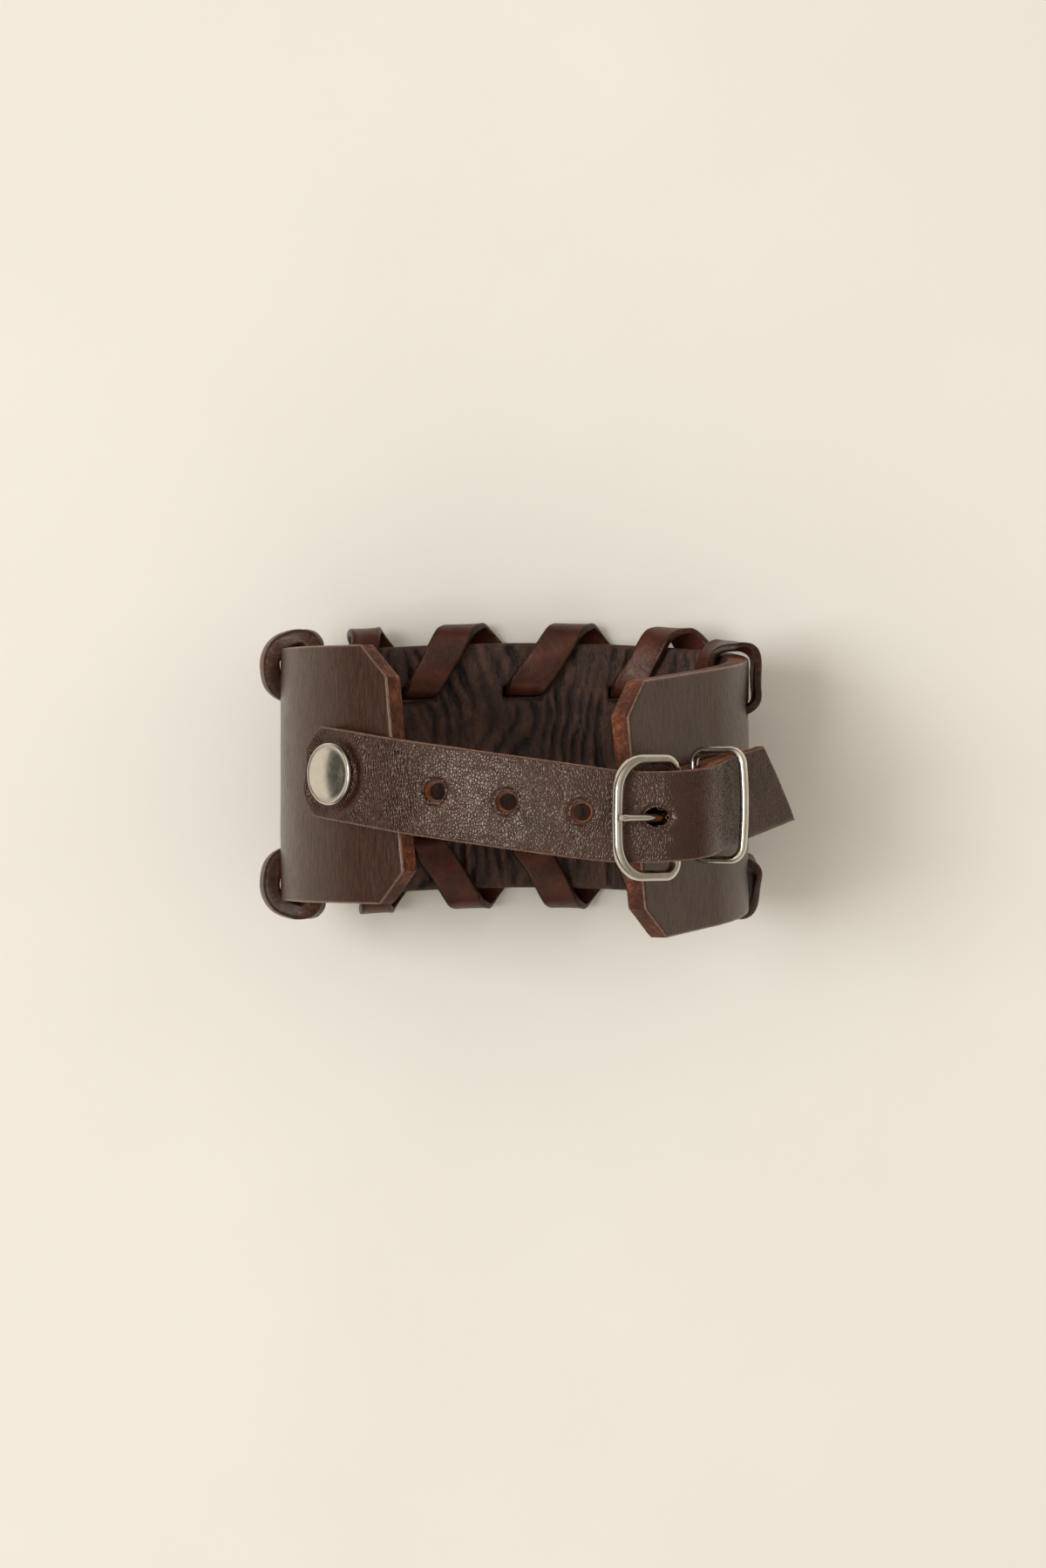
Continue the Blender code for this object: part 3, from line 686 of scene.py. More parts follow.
HAIRLINE_BROWN = tuple(0.5 * value for value in BROWN[0])
# Near-black painted shade for the bottoms of the flesh side's folds.
PAINTED_FOLD_SHADE = (0.004, 0.0014, 0.001)
# Lighter colours of rubbed cut edges: partly real rubbing, partly a painted highlight where the
# edge catches light.
BAND_EDGE_WEAR_AND_HIGHLIGHT = (0.30, 0.18, 0.125)
STRAP_EDGE_WEAR_AND_HIGHLIGHT = (0.30, 0.17, 0.115)
NICKEL_GREYS = ((0.54, 0.495, 0.425), (0.66, 0.62, 0.545))
PAPER_WHITES = ((0.80, 0.765, 0.70), (0.835, 0.80, 0.735))


def wear_highlight_and_fold_shade_mask(n):
    """The mesh's marks: how rubbed each edge is, painted lighter partly as real rubbing and partly
    as a painted highlight, and how deep in a fold each inner point is, for painted shade in the
    folds.
    """
    return n.add("ShaderNodeAttribute", attribute_name="wear_highlight_and_fold_shade").outputs["Fac"]


def band_grain(name, shine):
    """Finished grain side of the band: hair-fine creases across it, in uneven patches."""
    dark, mid, light = BROWN
    n = Nodes(name)
    hairs = n.noise(n.sheet((25.0, 5.0, 1.0)), 4.0, 0.72, 0.6)
    streaks = n.noise(n.sheet((12.0, 2.4, 1.0)), 4.0, 0.6, 0.5)
    patches = n.noise(n.sheet((1.3, 0.8, 1.0)), 3.0, 0.55)
    tone = n.ramp(streaks, (0.3, dark), (0.5, mid), (0.78, light))
    tone = n.mix(n.ramp(patches, (0.35, 0.0), (0.75, 0.5)), tone, dark)
    tone = n.mix(n.ramp(hairs, (0.36, 0.95), (0.47, 0.0)), tone, HAIRLINE_BROWN)
    # Rubbed edges turn lighter: partly real rubbing, partly a painted highlight along the edge.
    edge = n.math("MULTIPLY", wear_highlight_and_fold_shade_mask(n), n.ramp(hairs, (0.35, 0.35), (0.6, 1.0)))
    tone = n.mix(edge, tone, BAND_EDGE_WEAR_AND_HIGHLIGHT)
    gloss = n.ramp(hairs, (0.35, shine + 0.12), (0.62, shine))
    n.bump((hairs, 0.00006, 0.9), (streaks, 0.0001, 0.12))
    n.shader.inputs["Specular Tint"].default_value = LEATHER_SHEEN
    return n.finish(tone, gloss)


def strap_grain():
    """Glossy strap grain with a fine crackle that glitters."""
    dark, mid, light = STRAP_BROWN
    n = Nodes("strap_grain")
    crackle = n.cracks(n.sheet((30.0, 22.0, 1.0)))
    fine = n.noise(n.sheet((26.0, 17.0, 1.0)), 4.0, 0.65, 0.6)
    patches = n.noise(n.sheet((1.6, 1.8, 1.0)), 3.0, 0.55)
    tone = n.ramp(patches, (0.3, dark), (0.5, mid), (0.75, light))
    tone = n.mix(n.ramp(fine, (0.35, 0.6), (0.5, 0.0)), tone, dark)
    tone = n.mix(n.ramp(crackle, (0.0, 0.6), (0.12, 0.0)), tone, dark)
    # Rubbed edges turn lighter: partly real rubbing, partly a painted highlight along the edge.
    edge = n.math("MULTIPLY", wear_highlight_and_fold_shade_mask(n), n.ramp(fine, (0.35, 0.4), (0.6, 0.9)))
    tone = n.mix(edge, tone, STRAP_EDGE_WEAR_AND_HIGHLIGHT)
    gloss = n.ramp(fine, (0.3, 0.3), (0.65, 0.18))
    groove = n.ramp(crackle, (0.0, 0.0), (0.2, 1.0))
    n.bump((groove, 0.00005, 0.6), (fine, 0.00003, 0.7))
    n.shader.inputs["Specular Tint"].default_value = LEATHER_SHEEN
    return n.finish(tone, gloss)


def flesh_leather():
    """Dark flesh side: fibrous crests, with painted shade turning the folds between them
    near-black.
    """
    dark, mid, light = FLESH_BROWN
    n = Nodes("flesh_side")
    fibres = n.noise(n.sheet((30.0, 12.0, 1.0)), 5.0, 0.7, 0.8)
    patches = n.noise(n.sheet((3.2, 2.2, 1.0)), 5.0, 0.65, 0.7)
    tone = n.ramp(patches, (0.3, dark), (0.5, mid), (0.74, light))
    tone = n.mix(n.ramp(fibres, (0.5, 0.0), (0.8, 0.4)), tone, light)
    # Painted shade: the deeper in a fold, the nearer the colour goes to black.
    tone = n.mix(n.ramp(wear_highlight_and_fold_shade_mask(n), (0.1, 0.0), (0.7, 0.94)), tone, PAINTED_FOLD_SHADE)
    n.bump((patches, 0.0006, 0.6), (fibres, 0.0003, 0.7))
    return n.finish(tone, n.ramp(fibres, (0.3, 0.55), (0.7, 0.36)), Specular_IOR_Level=0.36)


def raw_edge(name, dark, mid, light):
    """Cut edge: orange-brown fibres in layers, with darker dyed patches."""
    n = Nodes(name)
    fibres = n.noise(n.place((900.0, 900.0, 1500.0)), 5.0, 0.7, 1.0)
    patches = n.noise(n.place((150.0, 150.0, 150.0)), 3.0, 0.6)
    tone = n.ramp(fibres, (0.3, dark), (0.5, mid), (0.75, light))
    tone = n.mix(n.ramp(patches, (0.4, 0.0), (0.62, 0.85)), tone, dark)
    n.bump((fibres, 0.0003, 0.8), (patches, 0.0003, 0.4))
    return n.finish(tone, n.ramp(fibres, (0.3, 0.7), (0.7, 0.5)), Specular_IOR_Level=0.25)


def lace_leather():
    """Smooth reddish lace; its narrow sides show the raw cut."""
    n = Nodes("lace_leather")
    uv = n.add("ShaderNodeUVMap", uv_map="Sheet")
    parts = n.add("ShaderNodeSeparateXYZ")
    n.link(uv.outputs["UV"], parts.inputs[0])
    # The ring's points run round the section: its flat faces are centred on 0 and 0.5.
    fold = n.math("PINGPONG", parts.outputs["Y"], 0.25)
    side = n.ramp(fold, (0.13, 0.0), (0.17, 1.0))
    fibres = n.noise(n.place((800.0, 800.0, 800.0)), 5.0, 0.7, 0.8)
    soft = n.noise(n.place((260.0, 260.0, 260.0)), 3.0, 0.5)
    dyed = n.noise(n.place((120.0, 120.0, 120.0)), 2.0, 0.5)
    dark, mid, light = LACE_BROWN
    skin = n.ramp(soft, (0.3, dark), (0.55, mid), (0.8, light))
    dark, mid, light = LACE_CUT
    raw = n.ramp(fibres, (0.34, dark), (0.54, mid), (0.78, light))
    raw = n.mix(n.ramp(dyed, (0.4, 0.0), (0.6, 0.8)), raw, dark)
    tone = n.mix(side, skin, raw)
    n.bump((fibres, 0.00016, 0.6), (soft, 0.0005, 0.35))
    gloss = n.ramp(fibres, (0.3, 0.42), (0.7, 0.28))
    n.shader.inputs["Specular Tint"].default_value = LEATHER_SHEEN
    return n.finish(tone, gloss, Specular_IOR_Level=0.3)


def nickel_plate(name, roughness, drawn):
    """Polished plate with fine scratches, drawn out lengthwise, and a warm tarnish."""
    n = Nodes(name)
    haze = n.noise(n.place((220.0, 220.0, 220.0)), 4.0, 0.6)
    scratch = n.noise(n.place((1500.0, 1500.0 / drawn, 900.0)), 4.0, 0.7, 0.4)
    tone = n.ramp(haze, (0.3, NICKEL_GREYS[0]), (0.7, NICKEL_GREYS[1]))
    gloss = n.ramp(scratch, (0.35, roughness), (0.7, roughness + 0.1))
    n.bump((scratch, 0.00001, drawn / 12), (haze, 0.0002, 0.08))
    return n.finish(tone, gloss, Metallic=1.0)


# ---- the pieces
def band_place(column, row):
    """Grid place to sheet place: chamfered corners, and ends cut on a slant."""
    half = BAND_WIDTH / 2
    to_tip = RIGHT_TIP - column if column > 0 else LEFT_TIP + column
    half -= max(0.0, BAND_CHAMFER - to_tip)
    across = row / (BAND_WIDTH / 2) * half
    slant = RIGHT_CUT_SLANT if column > 0 else LEFT_CUT_SLANT
    fade = 1 - smoothstep(to_tip, 0.0, CUT_SLANT_LENGTH)
    return column + across * math.tan(slant) * fade, across


def fold_depth(along, across, folds):
    """How deep a place is in a set of wandering folds that run across, from 0 to 1."""
    pitch, run, _, seed = folds
    sway = noise.noise(Vector((along / (5 * pitch), across / run, seed)))
    kink = noise.noise(Vector((along / (1.6 * pitch), 3.2 * across / run, seed + 5.0)))
    strength = noise.noise(Vector((0.6 * along / pitch, 1.6 * across / run, seed + 9.0)))
    phase = (along / pitch + 1.9 * sway + 0.5 * kink) % 1.0
    return min(1.0, max(0.0, 0.6 + 1.1 * strength)) * bell(phase, 0.5, 0.16 + 0.09 * kink)


def band_surface(along, across):
    """Heights of the band's faces over their plain sheets, and the inner face's fold depth."""
    outer = BAND_RIPPLE * noise.noise(Vector((along, across, 0.0)) * 160)
    reach = math.hypot(along - STRAP_RIVET, across)
    depth, width = UNDER_STRAP_DENT
    outer += depth * bell(reach, STRAP_WIDTH / 2, width)
    folds = fold_depth(along, across, FOLDS)
    small = fold_depth(along, across, SMALL_FOLDS)
    rough = noise.fractal(Vector((along * 900, across * 420, 3.0)), 0.9, 2.1, 3)
    dips = FOLDS[2] * folds + SMALL_FOLDS[2] * small + FLESH_ROUGHNESS * (0.5 - rough)
    # The third value, the fold depth, also darkens the flesh side as painted shade.
    return outer, dips - FLESH_LEVEL, min(1.0, folds + SMALL_FOLD_SHADE * small)


def make_band(materials):
    slits = []
    half = BAND_WIDTH / 2
    for index in range(-SLITS_EACH_WAY, SLITS_EACH_WAY + 1):
        for side in (-1, 1):
            slits.append((index * LACE_PITCH, side * (half - SLIT_FROM_EDGE)))
    column_marks = [s + e * SLIT_LENGTH / 2 for s, a in slits for e in (-1, 1)]
    row_marks = [a + e * SLIT_WIDTH / 2 for s, a in slits for e in (-1, 1)]
    columns = ladder(-LEFT_TIP, RIGHT_TIP, BAND_STEPS[0])
    columns = snapped(columns, sorted(set(column_marks)))
    rows = snapped(ladder(-half, half, BAND_STEPS[1]), sorted(set(row_marks)))

    def in_slit(along, across, margin=0.0):
        return any(
            abs(along - s) < SLIT_LENGTH / 2 + margin and abs(across - a) < SLIT_WIDTH / 2 + margin
            for s, a in slits
        )

    made = sheet_piece(
        "leather_band", columns, rows, band_place,
        lambda along, across: not in_slit(along, across), band_surface, bend_band,
        BAND_THICKNESS, materials, lambda along, across: in_slit(along, across, EDGE_WEAR_AND_HIGHLIGHT_WIDTH),
    )
    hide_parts("cuff_band")
    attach(made, "cuff")


def strap_place(column, row):
    """Grid place to sheet place: clipped end at the rivet, slanted tail."""
    half = STRAP_WIDTH / 2
    from_end = column + STRAP_END
    if from_end < STRAP_CLIP:
        half -= CLIP_SLANT * STRAP_CLIP * (1 - from_end / STRAP_CLIP) ** CLIP_CURVE
    taper = max(0.0, column - TAPER_START) / (STRAP_TAIL - TAPER_START)
    half -= (STRAP_WIDTH / 2 - TAIL_HALF_WIDTH) * taper
    share = row / (STRAP_WIDTH / 2)
    fade = smoothstep(column, STRAP_TAIL - TAIL_SLANT_LENGTH, STRAP_TAIL)
    lean = (TAIL_LONG - TAIL_SHORT) / 2 - share * (TAIL_LONG + TAIL_SHORT) / 2
    return column + lean * fade, share * half


def strap_holes():
    """(place, radius, stretch) of the post's hole, the hole in use and the free ones."""
    holes = [(0.0, POST_HOLE, 1.0), (BUCKLED_HOLE, BUCKLED_RADIUS, BUCKLED_STRETCH)]
    for index in range(1, HOLE_COUNT):
        holes.append((BUCKLED_HOLE - index * HOLE_PITCH, HOLE_RADIUS, 1.0))
    return holes


def strap_surface(along, across):
    """Strap faces: pressed round the rivet cap, dished at the holes, creased by the bend."""
    reach = math.hypot(along, across) - CAP_RADIUS
    outer = CAP_DENT[0] * bell(reach, 0.1 * MM, CAP_DENT[1])
    outer += CAP_SWELL[0] * bell(reach, 1.9 * MM, CAP_SWELL[1])
    for place, radius, stretch in strap_holes()[1:]:
        gap = math.hypot((along - place) / stretch, across) - radius
        outer += HOLE_LIP[0] * bell(gap, 0.6 * MM, HOLE_LIP[1])
        outer += HOLE_DISH[0] * math.exp(-max(gap, 0.0) / HOLE_DISH[1])
    outer += 0.08 * MM * noise.noise(Vector((along * 230, across * 160, 2.0)))
    outer += 0.05 * MM * noise.noise(Vector((along * 700, across * 500, 6.0)))
    creased = smoothstep(along, *CREASED_FROM) * (1 - smoothstep(along, *CREASED_UNTIL))
    outer -= STRAP_CREASES[2] * creased * fold_depth(along, across, STRAP_CREASES)
    edge = STRAP_WIDTH / 2 - abs(across)
    outer += EDGE_GROOVE[0] * bell(edge, 0.75 * MM, EDGE_GROOVE[1])
    crown = STRAP_CROWN * (1 - (2 * across / STRAP_WIDTH) ** 2)
    inner = 0.08 * MM * noise.noise(Vector((along * 600, across * 300, 5.0)))
    return outer + crown - STRAP_LEVEL, inner, 0.0


def bend_punched_strap(along, across, out):
    """The strap's bend, with the free holes narrowing towards the back."""
    for place, radius, _ in strap_holes()[2:]:
        reach = math.hypot(along - place, across)
        if 0 < reach < 2 * radius:
            share = math.exp(-max(reach - radius, 0.0) / HOLE_TAPER_REACH)
            factor = 1 + HOLE_TAPER * share * out / STRAP_THICKNESS * radius / reach
            along = place + (along - place) * factor
            across *= factor
    return bend_strap(along, across, out)


def make_strap(materials):
    columns = ladder(-STRAP_END, STRAP_TAIL, STRAP_STEP)
    rows = ladder(-STRAP_WIDTH / 2, STRAP_WIDTH / 2, STRAP_STEP)
    holes = strap_holes()

    def keep(along, across):
        return all(
            math.hypot((along - p) / stretch, across) > r for p, r, stretch in holes
        )

    def move(along, across, on_border):
        for place, radius, stretch in holes:
            reach = math.hypot((along - place) / stretch, across)
            if on_border and reach < radius * HOLE_SNAP:
                factor = radius / reach
                return place + (along - place) * factor, across * factor
        return along, across

    def away_from_edge(along, across):
        return STRAP_WIDTH / 2 - abs(across) > 2 * MM and along < STRAP_TAIL - 5 * MM

    made = sheet_piece(
        "leather_strap", columns, rows, strap_place, keep, strap_surface, bend_punched_strap,
        STRAP_THICKNESS, materials, away_from_edge, move,
    )
    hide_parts("strap")
    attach(made, "strap")


# One stitch of the lace and the loop before the first one, in millimetres:
# (along the edge, beyond the edge, outward from the outer face).
LAID_STITCH = (
    (0.0, -7.0, -1.5),
    (0.2, -6.6, -3.1),
    (0.9, -5.7, -3.95),
    (2.4, -3.8, -4.12),
    (4.2, -0.9, -4.1),
    (5.5, 1.3, -3.4),
    (6.5, 2.2, -1.7),
    (7.5, 1.8, 0.1),
    (9.0, -0.2, 1.15),
    (11.4, -3.2, 1.15),
    (13.5, -5.7, 0.9),
    (14.5, -6.8, -0.1),
)
FIRST_LOOP = (
    (-5.4, -4.2, -4.3),
    (-4.7, -1.0, -4.3),
    (-4.0, 0.8, -3.7),
    (-3.3, 1.4, -2.4),
    (-2.5, 1.1, -0.75),
    (-1.9, 0.5, 0.35),
    (-1.4, -0.5, 1.15),
    (-1.0, -1.8, 1.55),
    (-0.6, -3.5, 1.5),
    (-0.3, -5.0, 1.05),
    (-0.1, -6.2, 0.1),
)
LAST_LOOP_RISE = 0.55
FIRST_LOOP_THICKER = 2.05
FIRST_LOOP_TILT = 0.2
FIRST_LOOP_FADE = (0.10, 0.13)


def lace_route():
    """The lace's middle in band sheet coordinates, as (along, beyond the edge, out)."""
    first_slit = -SLITS_EACH_WAY * LACE_PITCH
    route = [Vector((first_slit + s * MM, y * MM, o * MM)) for s, y, o in FIRST_LOOP]
    for index in range(-SLITS_EACH_WAY, SLITS_EACH_WAY):
        rise = LAST_LOOP_RISE if index == SLITS_EACH_WAY - 1 else 1.0
        for s, y, o in LAID_STITCH:
            y *= rise if y > 0 else 1.0
            route.append(Vector((index * LACE_PITCH + s * MM, y * MM, o * MM)))
    for s, y, o in LAID_STITCH[:4]:
        route.append(Vector((SLITS_EACH_WAY * LACE_PITCH + s * MM, y * MM, o * MM)))
    return route


def ribbon_outline(width, thickness, corner):
    """Soft rounded rectangle as (across, up); its flat faces are centred on the first point
    and the one half-way round."""
    quarter = []
    half_w, half_t = width / 2 - corner, thickness / 2 - corner
    for share in RIBBON_FACE:
        quarter.append((share * half_w, thickness / 2 * (1 - RIBBON_CROWN * share * share)))
    for degrees in RIBBON_CORNER:
        angle = math.radians(degrees)
        rise = (half_t + corner * math.cos(angle)) * RIBBON_CORNER_RISE
        quarter.append((half_w + corner * math.sin(angle), rise))
    half_ring = quarter + [(x, -y) for x, y in quarter[-2:0:-1]]
    return half_ring + [(0.0, -thickness / 2)] + [(-x, -y) for x, y in half_ring[1:]]


def make_lace(name, side, finish):
    half = BAND_WIDTH / 2
    path = smooth_path(lace_route(), LACE_STEPS)
    outline = ribbon_outline(LACE_WIDTH, LACE_THICKNESS, LACE_CORNER)
    sections = []
    for index, center in enumerate(path):
        tangent = tangent_at(path, index)
        outward = Vector((0.0, -tangent.z, tangent.y)).normalized()
        across = tangent.cross(outward).normalized()
        up = across.cross(tangent).normalized()
        wave = noise.noise(Vector((center.x * 260, side * 3.0, center.y * 200 + center.z * 200)))
        corner = 1 - smoothstep(index / len(path), *FIRST_LOOP_FADE)
        up *= 1 + (FIRST_LOOP_THICKER - 1) * corner
        ring = []
        for a, b in outline:
            spot = center + across * a * (1 + LACE_WAVER * wave) + up * b
            tilt = FIRST_LOOP_TILT * corner * (spot.x - center.x)
            ring.append(bend_band(spot.x, side * (half + spot.y), spot.z + tilt))
        sections.append(ring)
    made = sweep("leather_" + name, sections, finish, False, LACE_UV_STEP)
    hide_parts(name)
    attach(made, "cuff")


def rounded_loop(length, half, far_radius, near_radius, bow, corner_steps, side_steps):
    """Closed loop of (along, across) points: near side at 0, far side bowed outwards."""
    corners = (
        (near_radius, -half + near_radius, near_radius, 180),
        (length - far_radius, -half + far_radius, far_radius, 270),
        (length - far_radius, half - far_radius, far_radius, 0),
        (near_radius, half - near_radius, near_radius, 90),
    )
    arcs = []
    for along, across, radius, start in corners:
        angles = [math.radians(start + 90 * k / corner_steps) for k in range(corner_steps + 1)]
        arcs.append([(along + radius * math.cos(a), across + radius * math.sin(a)) for a in angles])
    points = []
    for arc, following in zip(arcs, arcs[1:] + arcs[:1]):
        points += arc
        for step in range(1, side_steps):
            share = step / side_steps
            points.append(tuple(a + (b - a) * share for a, b in zip(arc[-1], following[0])))
    return [
        (along + bow * (1 - (across / half) ** 2) * max(0.0, along / length), across)
        for along, across in points
    ]


def wire_loop(name, loop, origin, reach, half_width, half_height, finish):
    """A loop of flattened wire: half_width in the loop's plane, half_height across it."""
    normal = reach.cross(SIDEWAYS).normalized()
    places = [origin + reach * along + SIDEWAYS * across for along, across in loop]
    sections = []
    count = len(places)
    for index, place in enumerate(places):
        tangent = (places[(index + 1) % count] - places[index - 1]).normalized()
        in_plane = normal.cross(tangent).normalized()
        ring = []
        for k in range(WIRE_SIDES):
            angle = math.tau * k / WIRE_SIDES
            c, s = math.cos(angle), math.sin(angle)
            x = math.copysign(abs(c) ** WIRE_SOFTNESS, c) * half_width
            y = math.copysign(abs(s) ** WIRE_SOFTNESS, s) * half_height
            ring.append(place + in_plane * x + normal * y)
        sections.append(ring)
    return sweep(name, sections, finish, True)


def make_frame(finish):
    loop = rounded_loop(
        FRAME_LENGTH, FRAME_HALF_HEIGHT, FRAME_OUTER_CORNER, FRAME_BAR_CORNER, FRAME_BOW,
        *FRAME_STEPS,
    )
    half_width, half_height = (share * BAR_RADIUS for share in FRAME_FLATTENING)
    made = wire_loop("wire_frame", loop, BAR, FRAME_REACH, half_width, half_height, finish)
    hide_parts("buckle_frame")
    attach(made, "buckle")


def make_prong(finish):
    points = []
    for step in range(PRONG_EYE_STEPS + 1):
        angle = math.radians(PRONG_EYE_START + PRONG_EYE_TURN * step / PRONG_EYE_STEPS)
        points.append(Vector((PRONG_EYE * math.cos(angle), 0.0, PRONG_EYE * math.sin(angle))))
    rail = FRAME_LENGTH + FRAME_BOW
    over = BAR_RADIUS + PRONG_RADIUS + PRONG_OVER_RAIL
    shank = (PRONG_KNEE, (rail - PRONG_BEFORE_RAIL, over), (rail + PRONG_PAST_RAIL, over))
    points += [FRAME_REACH * along + FRAME_LIFT * up for along, up in shank]
    points = [points[0], *smooth_path(points[1:], PRONG_STEPS)]
    sections = []
    count = len(points)
    for index, place in enumerate(points):
        up = tangent_at(points, index).cross(SIDEWAYS).normalized()
        share = index / (count - 1)
        radius = PRONG_RADIUS * (1.0 - PRONG_TAPER * smoothstep(share, 0.75, 1.0))
        if index in (0, count - 1):
            radius *= PRONG_END
        ring = []
        for k in range(PRONG_SIDES):
            angle = math.tau * k / PRONG_SIDES
            side = SIDEWAYS * math.cos(angle) + up * math.sin(angle)
            ring.append(BAR + place + side * radius)
        sections.append(ring)
    made = sweep("wire_prong", sections, finish, False)
    made.data.set_sharp_from_angle(angle=math.radians(50))
    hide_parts("buckle_prong")
    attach(made, "prong")


def make_keeper(finish):
    origin = Vector(JOINTS["keeper_tilt"]["pos_m"])
    low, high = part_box("keeper_loop")
    origin.y = (low.y + high.y) / 2
    reach = flap_place(*KEEPER_UPPER, 0.0) - flap_place(*KEEPER_LOWER, 0.0)
    loop = rounded_loop(
        reach.length, KEEPER_HALF_HEIGHT, KEEPER_CORNER, KEEPER_CORNER, KEEPER_BOW,
        *KEEPER_STEPS,
    )
    made = wire_loop(
        "wire_keeper", loop, origin, reach.normalized(),
        KEEPER_RADIUS * KEEPER_FLATTENING, KEEPER_RADIUS, finish,
    )
    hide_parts("keeper_loop")
    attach(made, "keeper")


def cap_profile(base, dome_height, way):
    """A pressed cap: flat underside, rolled rim, a shallow groove and a low dome."""
    rim = CAP_RADIUS - ROLL_RADIUS
    points = [(0.0, base), (CAP_RADIUS - UNDERSIDE_INSET, base)]
    for step in range(ROLL_STEPS + 1):
        angle = math.radians(-60 + 170 * step / ROLL_STEPS)
        rise = ROLL_CENTER + ROLL_RADIUS * math.sin(angle)
        points.append((rim + ROLL_RADIUS * math.cos(angle), base + way * rise))
    groove = CAP_RADIUS - GROOVE_INSET
    top = CAP_RIM + dome_height
    for step in range(1, DOME_STEPS):
        radius = groove * (1 - step / DOME_STEPS)
        rise = GROOVE_RISE + (top - GROOVE_RISE) * (1 - (radius / groove) ** 2)
        points.append((radius, base + way * rise))
    return points + [(0.0, base + way * top)]


def make_cap(name, node, place, outward, base, dome_height, way, finish):
    made = turned_piece(name, cap_profile(base, dome_height, way), place, outward, finish)
    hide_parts(node)
    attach(made, "cuff")


def make_pair(name, node, place, outward, height, base, finish):
    """A rivet's outer and inner cap, on a stack of that height over the band's outer face."""
    under = -height - BAND_THICKNESS - RIVET_GAP - BACK_CAP_GAP
    make_cap(name, node, place, outward, base, CAP_DOME, 1, finish)
    make_cap(name + "_back", node + "_back", place, outward, under, BACK_DOME, -1, finish)


def make_rivets(finish):
    x, z, out_x, out_z = band_section(STRAP_RIVET)
    height = STRAP_GAP + STRAP_THICKNESS
    outward = Vector((out_x, 0.0, out_z))
    place = Vector((x, band_drift(STRAP_RIVET)[0], BAND_CLEARANCE + z)) + outward * height + SHIFT
    make_pair("strap_cap", "strap_rivet", place, outward, height, STRAP_CAP_BASE, finish)
    height = TAB_RETURN[-1][1] * MM + TAB_THICKNESS / 2
    y = BUCKLE_Y + (BAR_PLACE[0] - TAB_RIVET_ALONG) * TAB_SKEW
    place = flap_point(TAB_RIVET_ALONG, height, y)
    outward = (flap_point(0.0, 1.0, 0.0) - flap_point(0.0, 0.0, 0.0)).normalized()
    make_pair("tab_cap", "tab_rivet", place, outward, height, TAB_CAP_BASE, finish)


def tab_path():
    rise = [Vector((a * MM, h * MM)) for a, h in TAB_RISE]
    back = [Vector((a * MM, h * MM)) for a, h in TAB_RETURN]
    bar = Vector(BAR_PLACE)
    wrap = []
    for degrees in range(*TAB_WRAP):
        angle = math.radians(degrees)
        wrap.append(bar + TAB_WRAP_RADIUS * Vector((math.cos(angle), math.sin(angle))))
    return smooth_path(rise + wrap + back, TAB_PATH_STEPS)


def make_tab(materials):
    path = tab_path()
    lengths = [0.0]
    for before, after in zip(path, path[1:]):
        lengths.append(lengths[-1] + (after - before).length)
    total = lengths[-1]
    rivets = []
    for before, after, length in zip(path, path[1:], lengths):
        if (before.x < TAB_RIVET_ALONG) != (after.x < TAB_RIVET_ALONG):
            share = (TAB_RIVET_ALONG - before.x) / (after.x - before.x)
            rivets.append(length + share * (after - before).length)

    def bend(along, across, out):
        index = min(max(int(np.searchsorted(lengths, along)) - 1, 0), len(path) - 2)
        share = (along - lengths[index]) / (lengths[index + 1] - lengths[index])
        tangent = tangent_at(path, index).lerp(tangent_at(path, index + 1), share).normalized()
        place = path[index].lerp(path[index + 1], share)
        place += Vector((tangent.y, -tangent.x)) * (out + TAB_THICKNESS / 2)
        y = BUCKLE_Y + (BAR_PLACE[0] - min(place.x, BAR_PLACE[0])) * TAB_SKEW + across
        return flap_point(place.x, place.y, y)

    def keep(along, across):
        from_slot = abs(along - (total / 2 + TAB_SLOT_SHIFT))
        in_slot = from_slot < TAB_SLOT_LENGTH / 2 and abs(across) < TAB_SLOT_WIDTH / 2
        return not in_slot and all(math.hypot(along - r, across) > POST_HOLE for r in rivets)

    def surface(along, across):
        return 0.05 * MM * noise.noise(Vector((along * 300, across * 200, 3.0))), 0.0, 0.0

    columns = ladder(0.0, total, TAB_STEPS[0])
    rows = ladder(-TAB_WIDTH / 2, TAB_WIDTH / 2, TAB_STEPS[1])
    made = sheet_piece(
        "leather_tab", columns, rows, lambda c, r: (c, r), keep, surface, bend,
        TAB_THICKNESS, materials, lambda along, across: abs(across) < TAB_WIDTH / 4,
    )
    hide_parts("buckle_tab")
    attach(made, "cuff")


# ---- camera, floor and light
SENSOR = 36.0
LENS = 119.5
CAMERA_HEIGHT = 0.75
CAMERA_BELOW = 2.69 * MM


def make_camera():
    """Straight above the cuff, with a long lens."""
    data = bpy.data.cameras.new("camera")
    data.sensor_width = SENSOR
    data.lens = LENS
    camera = bpy.data.objects.new("camera", data)
    SCENE_OBJECTS.link(camera)
    camera.location = (SHIFT.x, SHIFT.y - CAMERA_BELOW, CAMERA_HEIGHT)
    bpy.context.scene.camera = camera


def paper_floor():
    n = Nodes("paper_floor")
    mottle = n.noise(n.place((14.0, 14.0, 14.0)), 4.0, 0.55)
    tooth = n.noise(n.place((420.0, 420.0, 420.0)), 3.0, 0.6)
    tone = n.ramp(mottle, (0.3, PAPER_WHITES[0]), (0.7, PAPER_WHITES[1]))
    n.bump((tooth, 0.0002, 0.25))
    return n.finish(tone, 0.9, Specular_IOR_Level=0.2)


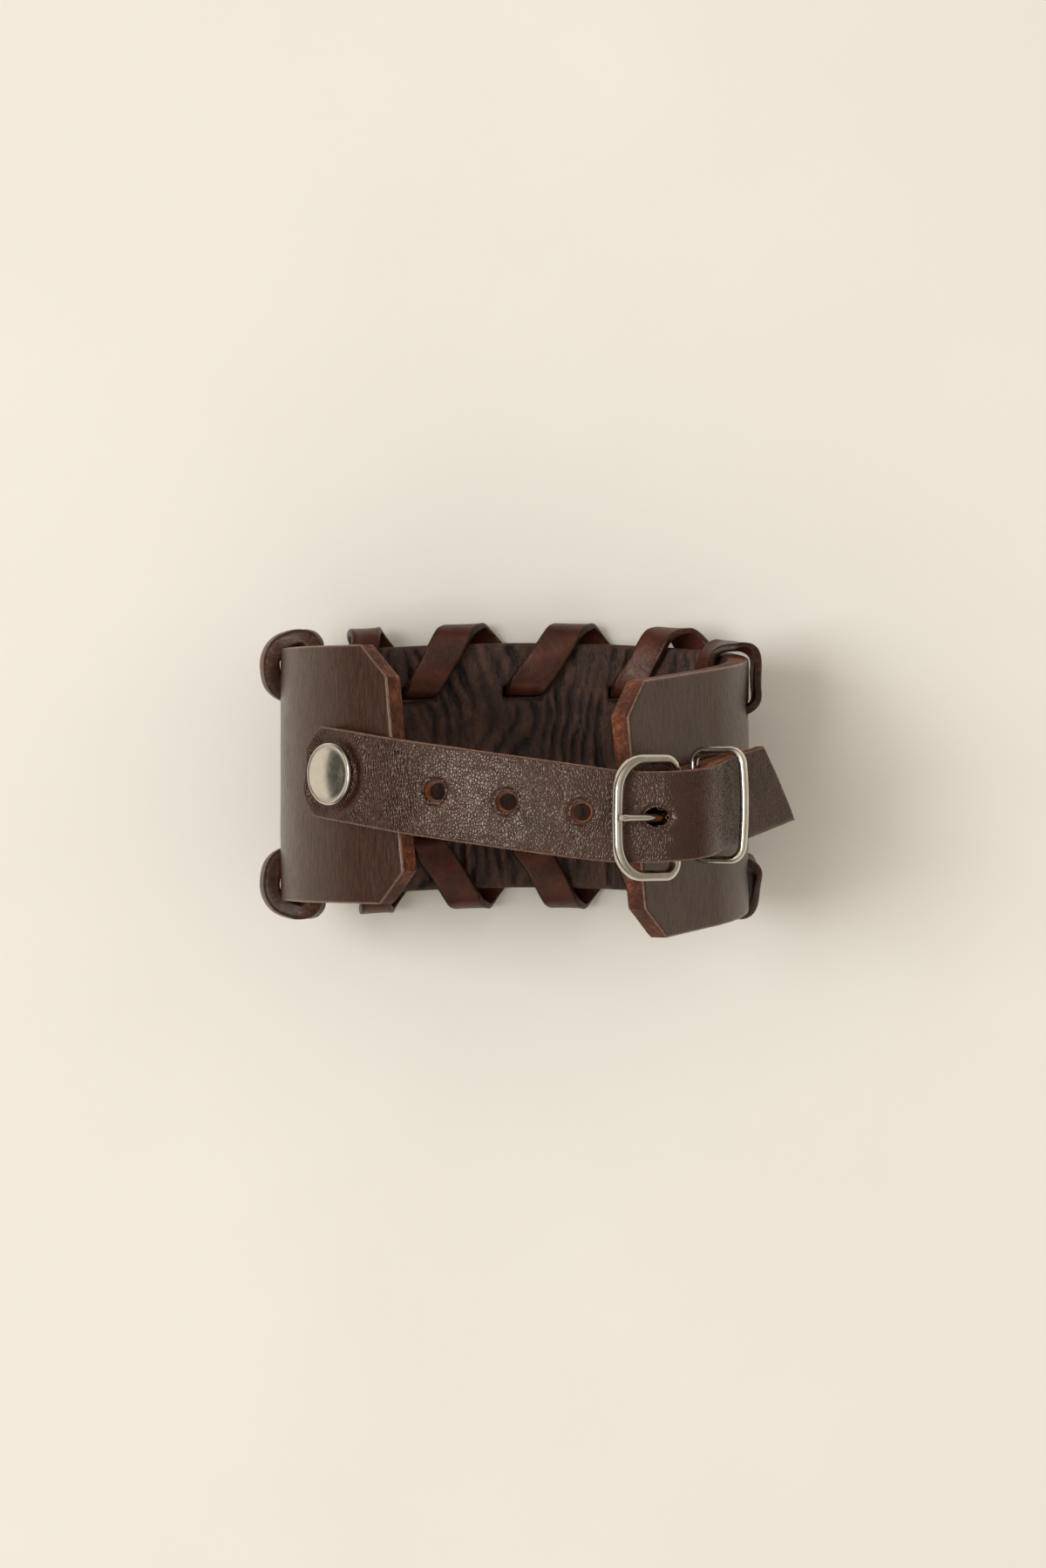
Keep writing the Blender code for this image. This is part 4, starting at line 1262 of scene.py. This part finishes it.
def make_stage():
    size = 3.0
    corners = [(-size, -size, 0), (size, -size, 0), (size, size, 0), (-size, size, 0)]
    mesh = bpy.data.meshes.new("floor")
    mesh.from_pydata(corners, [], [(0, 1, 2, 3)])
    mesh.materials.append(paper_floor())
    floor = bpy.data.objects.new("floor", mesh)
    SCENE_OBJECTS.link(floor)


# Brightness of the room from the horizon up to the zenith, on the left and on the right.
SKY_LEFT = ((0.0, 0.04), (0.35, 0.08), (0.6, 0.85), (0.75, 1.2), (0.9, 0.95), (1.0, 0.6))
SKY_RIGHT = ((0.0, 0.3), (0.3, 0.36), (0.6, 0.6), (0.85, 0.8), (1.0, 0.63))
SKY_TINT = (1.0, 0.935, 0.83)
SKY_BLEND = (-0.35, 0.35)
BOX_PLACE = (-0.72, 0.04, 1.20)
BOX_SIZE = 0.6
BOX_POWER = 9.8
BOX_COLOR = (0.97, 0.985, 1.0)


def make_sky():
    world = bpy.data.worlds.new("studio")
    world.use_nodes = True
    tree = world.node_tree
    background = tree.nodes["Background"]
    coordinate = tree.nodes.new("ShaderNodeTexCoord")
    parts = tree.nodes.new("ShaderNodeSeparateXYZ")
    tree.links.new(coordinate.outputs["Generated"], parts.inputs[0])
    turn = tree.nodes.new("ShaderNodeMapRange")
    turn.inputs["From Min"].default_value, turn.inputs["From Max"].default_value = SKY_BLEND
    tree.links.new(parts.outputs["X"], turn.inputs["Value"])
    blend = tree.nodes.new("ShaderNodeMix")
    blend.data_type = "RGBA"
    tree.links.new(turn.outputs["Result"], blend.inputs[0])
    for stops, socket in ((SKY_LEFT, blend.inputs[6]), (SKY_RIGHT, blend.inputs[7])):
        ramp = tree.nodes.new("ShaderNodeValToRGB")
        tree.links.new(parts.outputs["Z"], ramp.inputs["Fac"])
        elements = ramp.color_ramp.elements
        while len(elements) < len(stops):
            elements.new(0.5)
        for element, (position, value) in zip(elements, stops):
            element.position = position
            element.color = (*(value * tint for tint in SKY_TINT), 1.0)
        tree.links.new(ramp.outputs["Color"], socket)
    tree.links.new(blend.outputs[2], background.inputs["Color"])
    background.inputs["Strength"].default_value = 1.0
    bpy.context.scene.world = world


def make_lights():
    """A soft box up on the left, in a room that is brightest on that side."""
    make_sky()
    data = bpy.data.lights.new("soft_box", "AREA")
    data.shape = "SQUARE"
    data.size = BOX_SIZE
    data.energy = BOX_POWER
    data.color = BOX_COLOR
    light = bpy.data.objects.new("soft_box", data)
    SCENE_OBJECTS.link(light)
    light.location = BOX_PLACE
    light.rotation_euler = (-Vector(BOX_PLACE)).to_track_quat("-Z", "Y").to_euler()
    bpy.context.scene.view_settings.view_transform = "Standard"


make_camera()
make_stage()
make_lights()

band_edge = raw_edge("band_cut_edge", *BAND_CUT)
strap_edge = raw_edge("strap_cut_edge", *STRAP_CUT)
flesh = flesh_leather()
nickel = nickel_plate("nickel_wire", 0.14, 6.0)
cap_nickel = nickel_plate("nickel_cap", 0.17, 1.0)
lace_finish = lace_leather()

make_band([band_grain("band_grain", 0.22), band_edge, flesh])
make_strap([strap_grain(), strap_edge, flesh])
make_tab([band_grain("tab_grain", 0.26), strap_edge, flesh])
make_lace("lace_upper", 1, lace_finish)
make_lace("lace_lower", -1, lace_finish)
make_frame(nickel)
make_prong(nickel)
make_keeper(nickel)
make_rivets(cap_nickel)
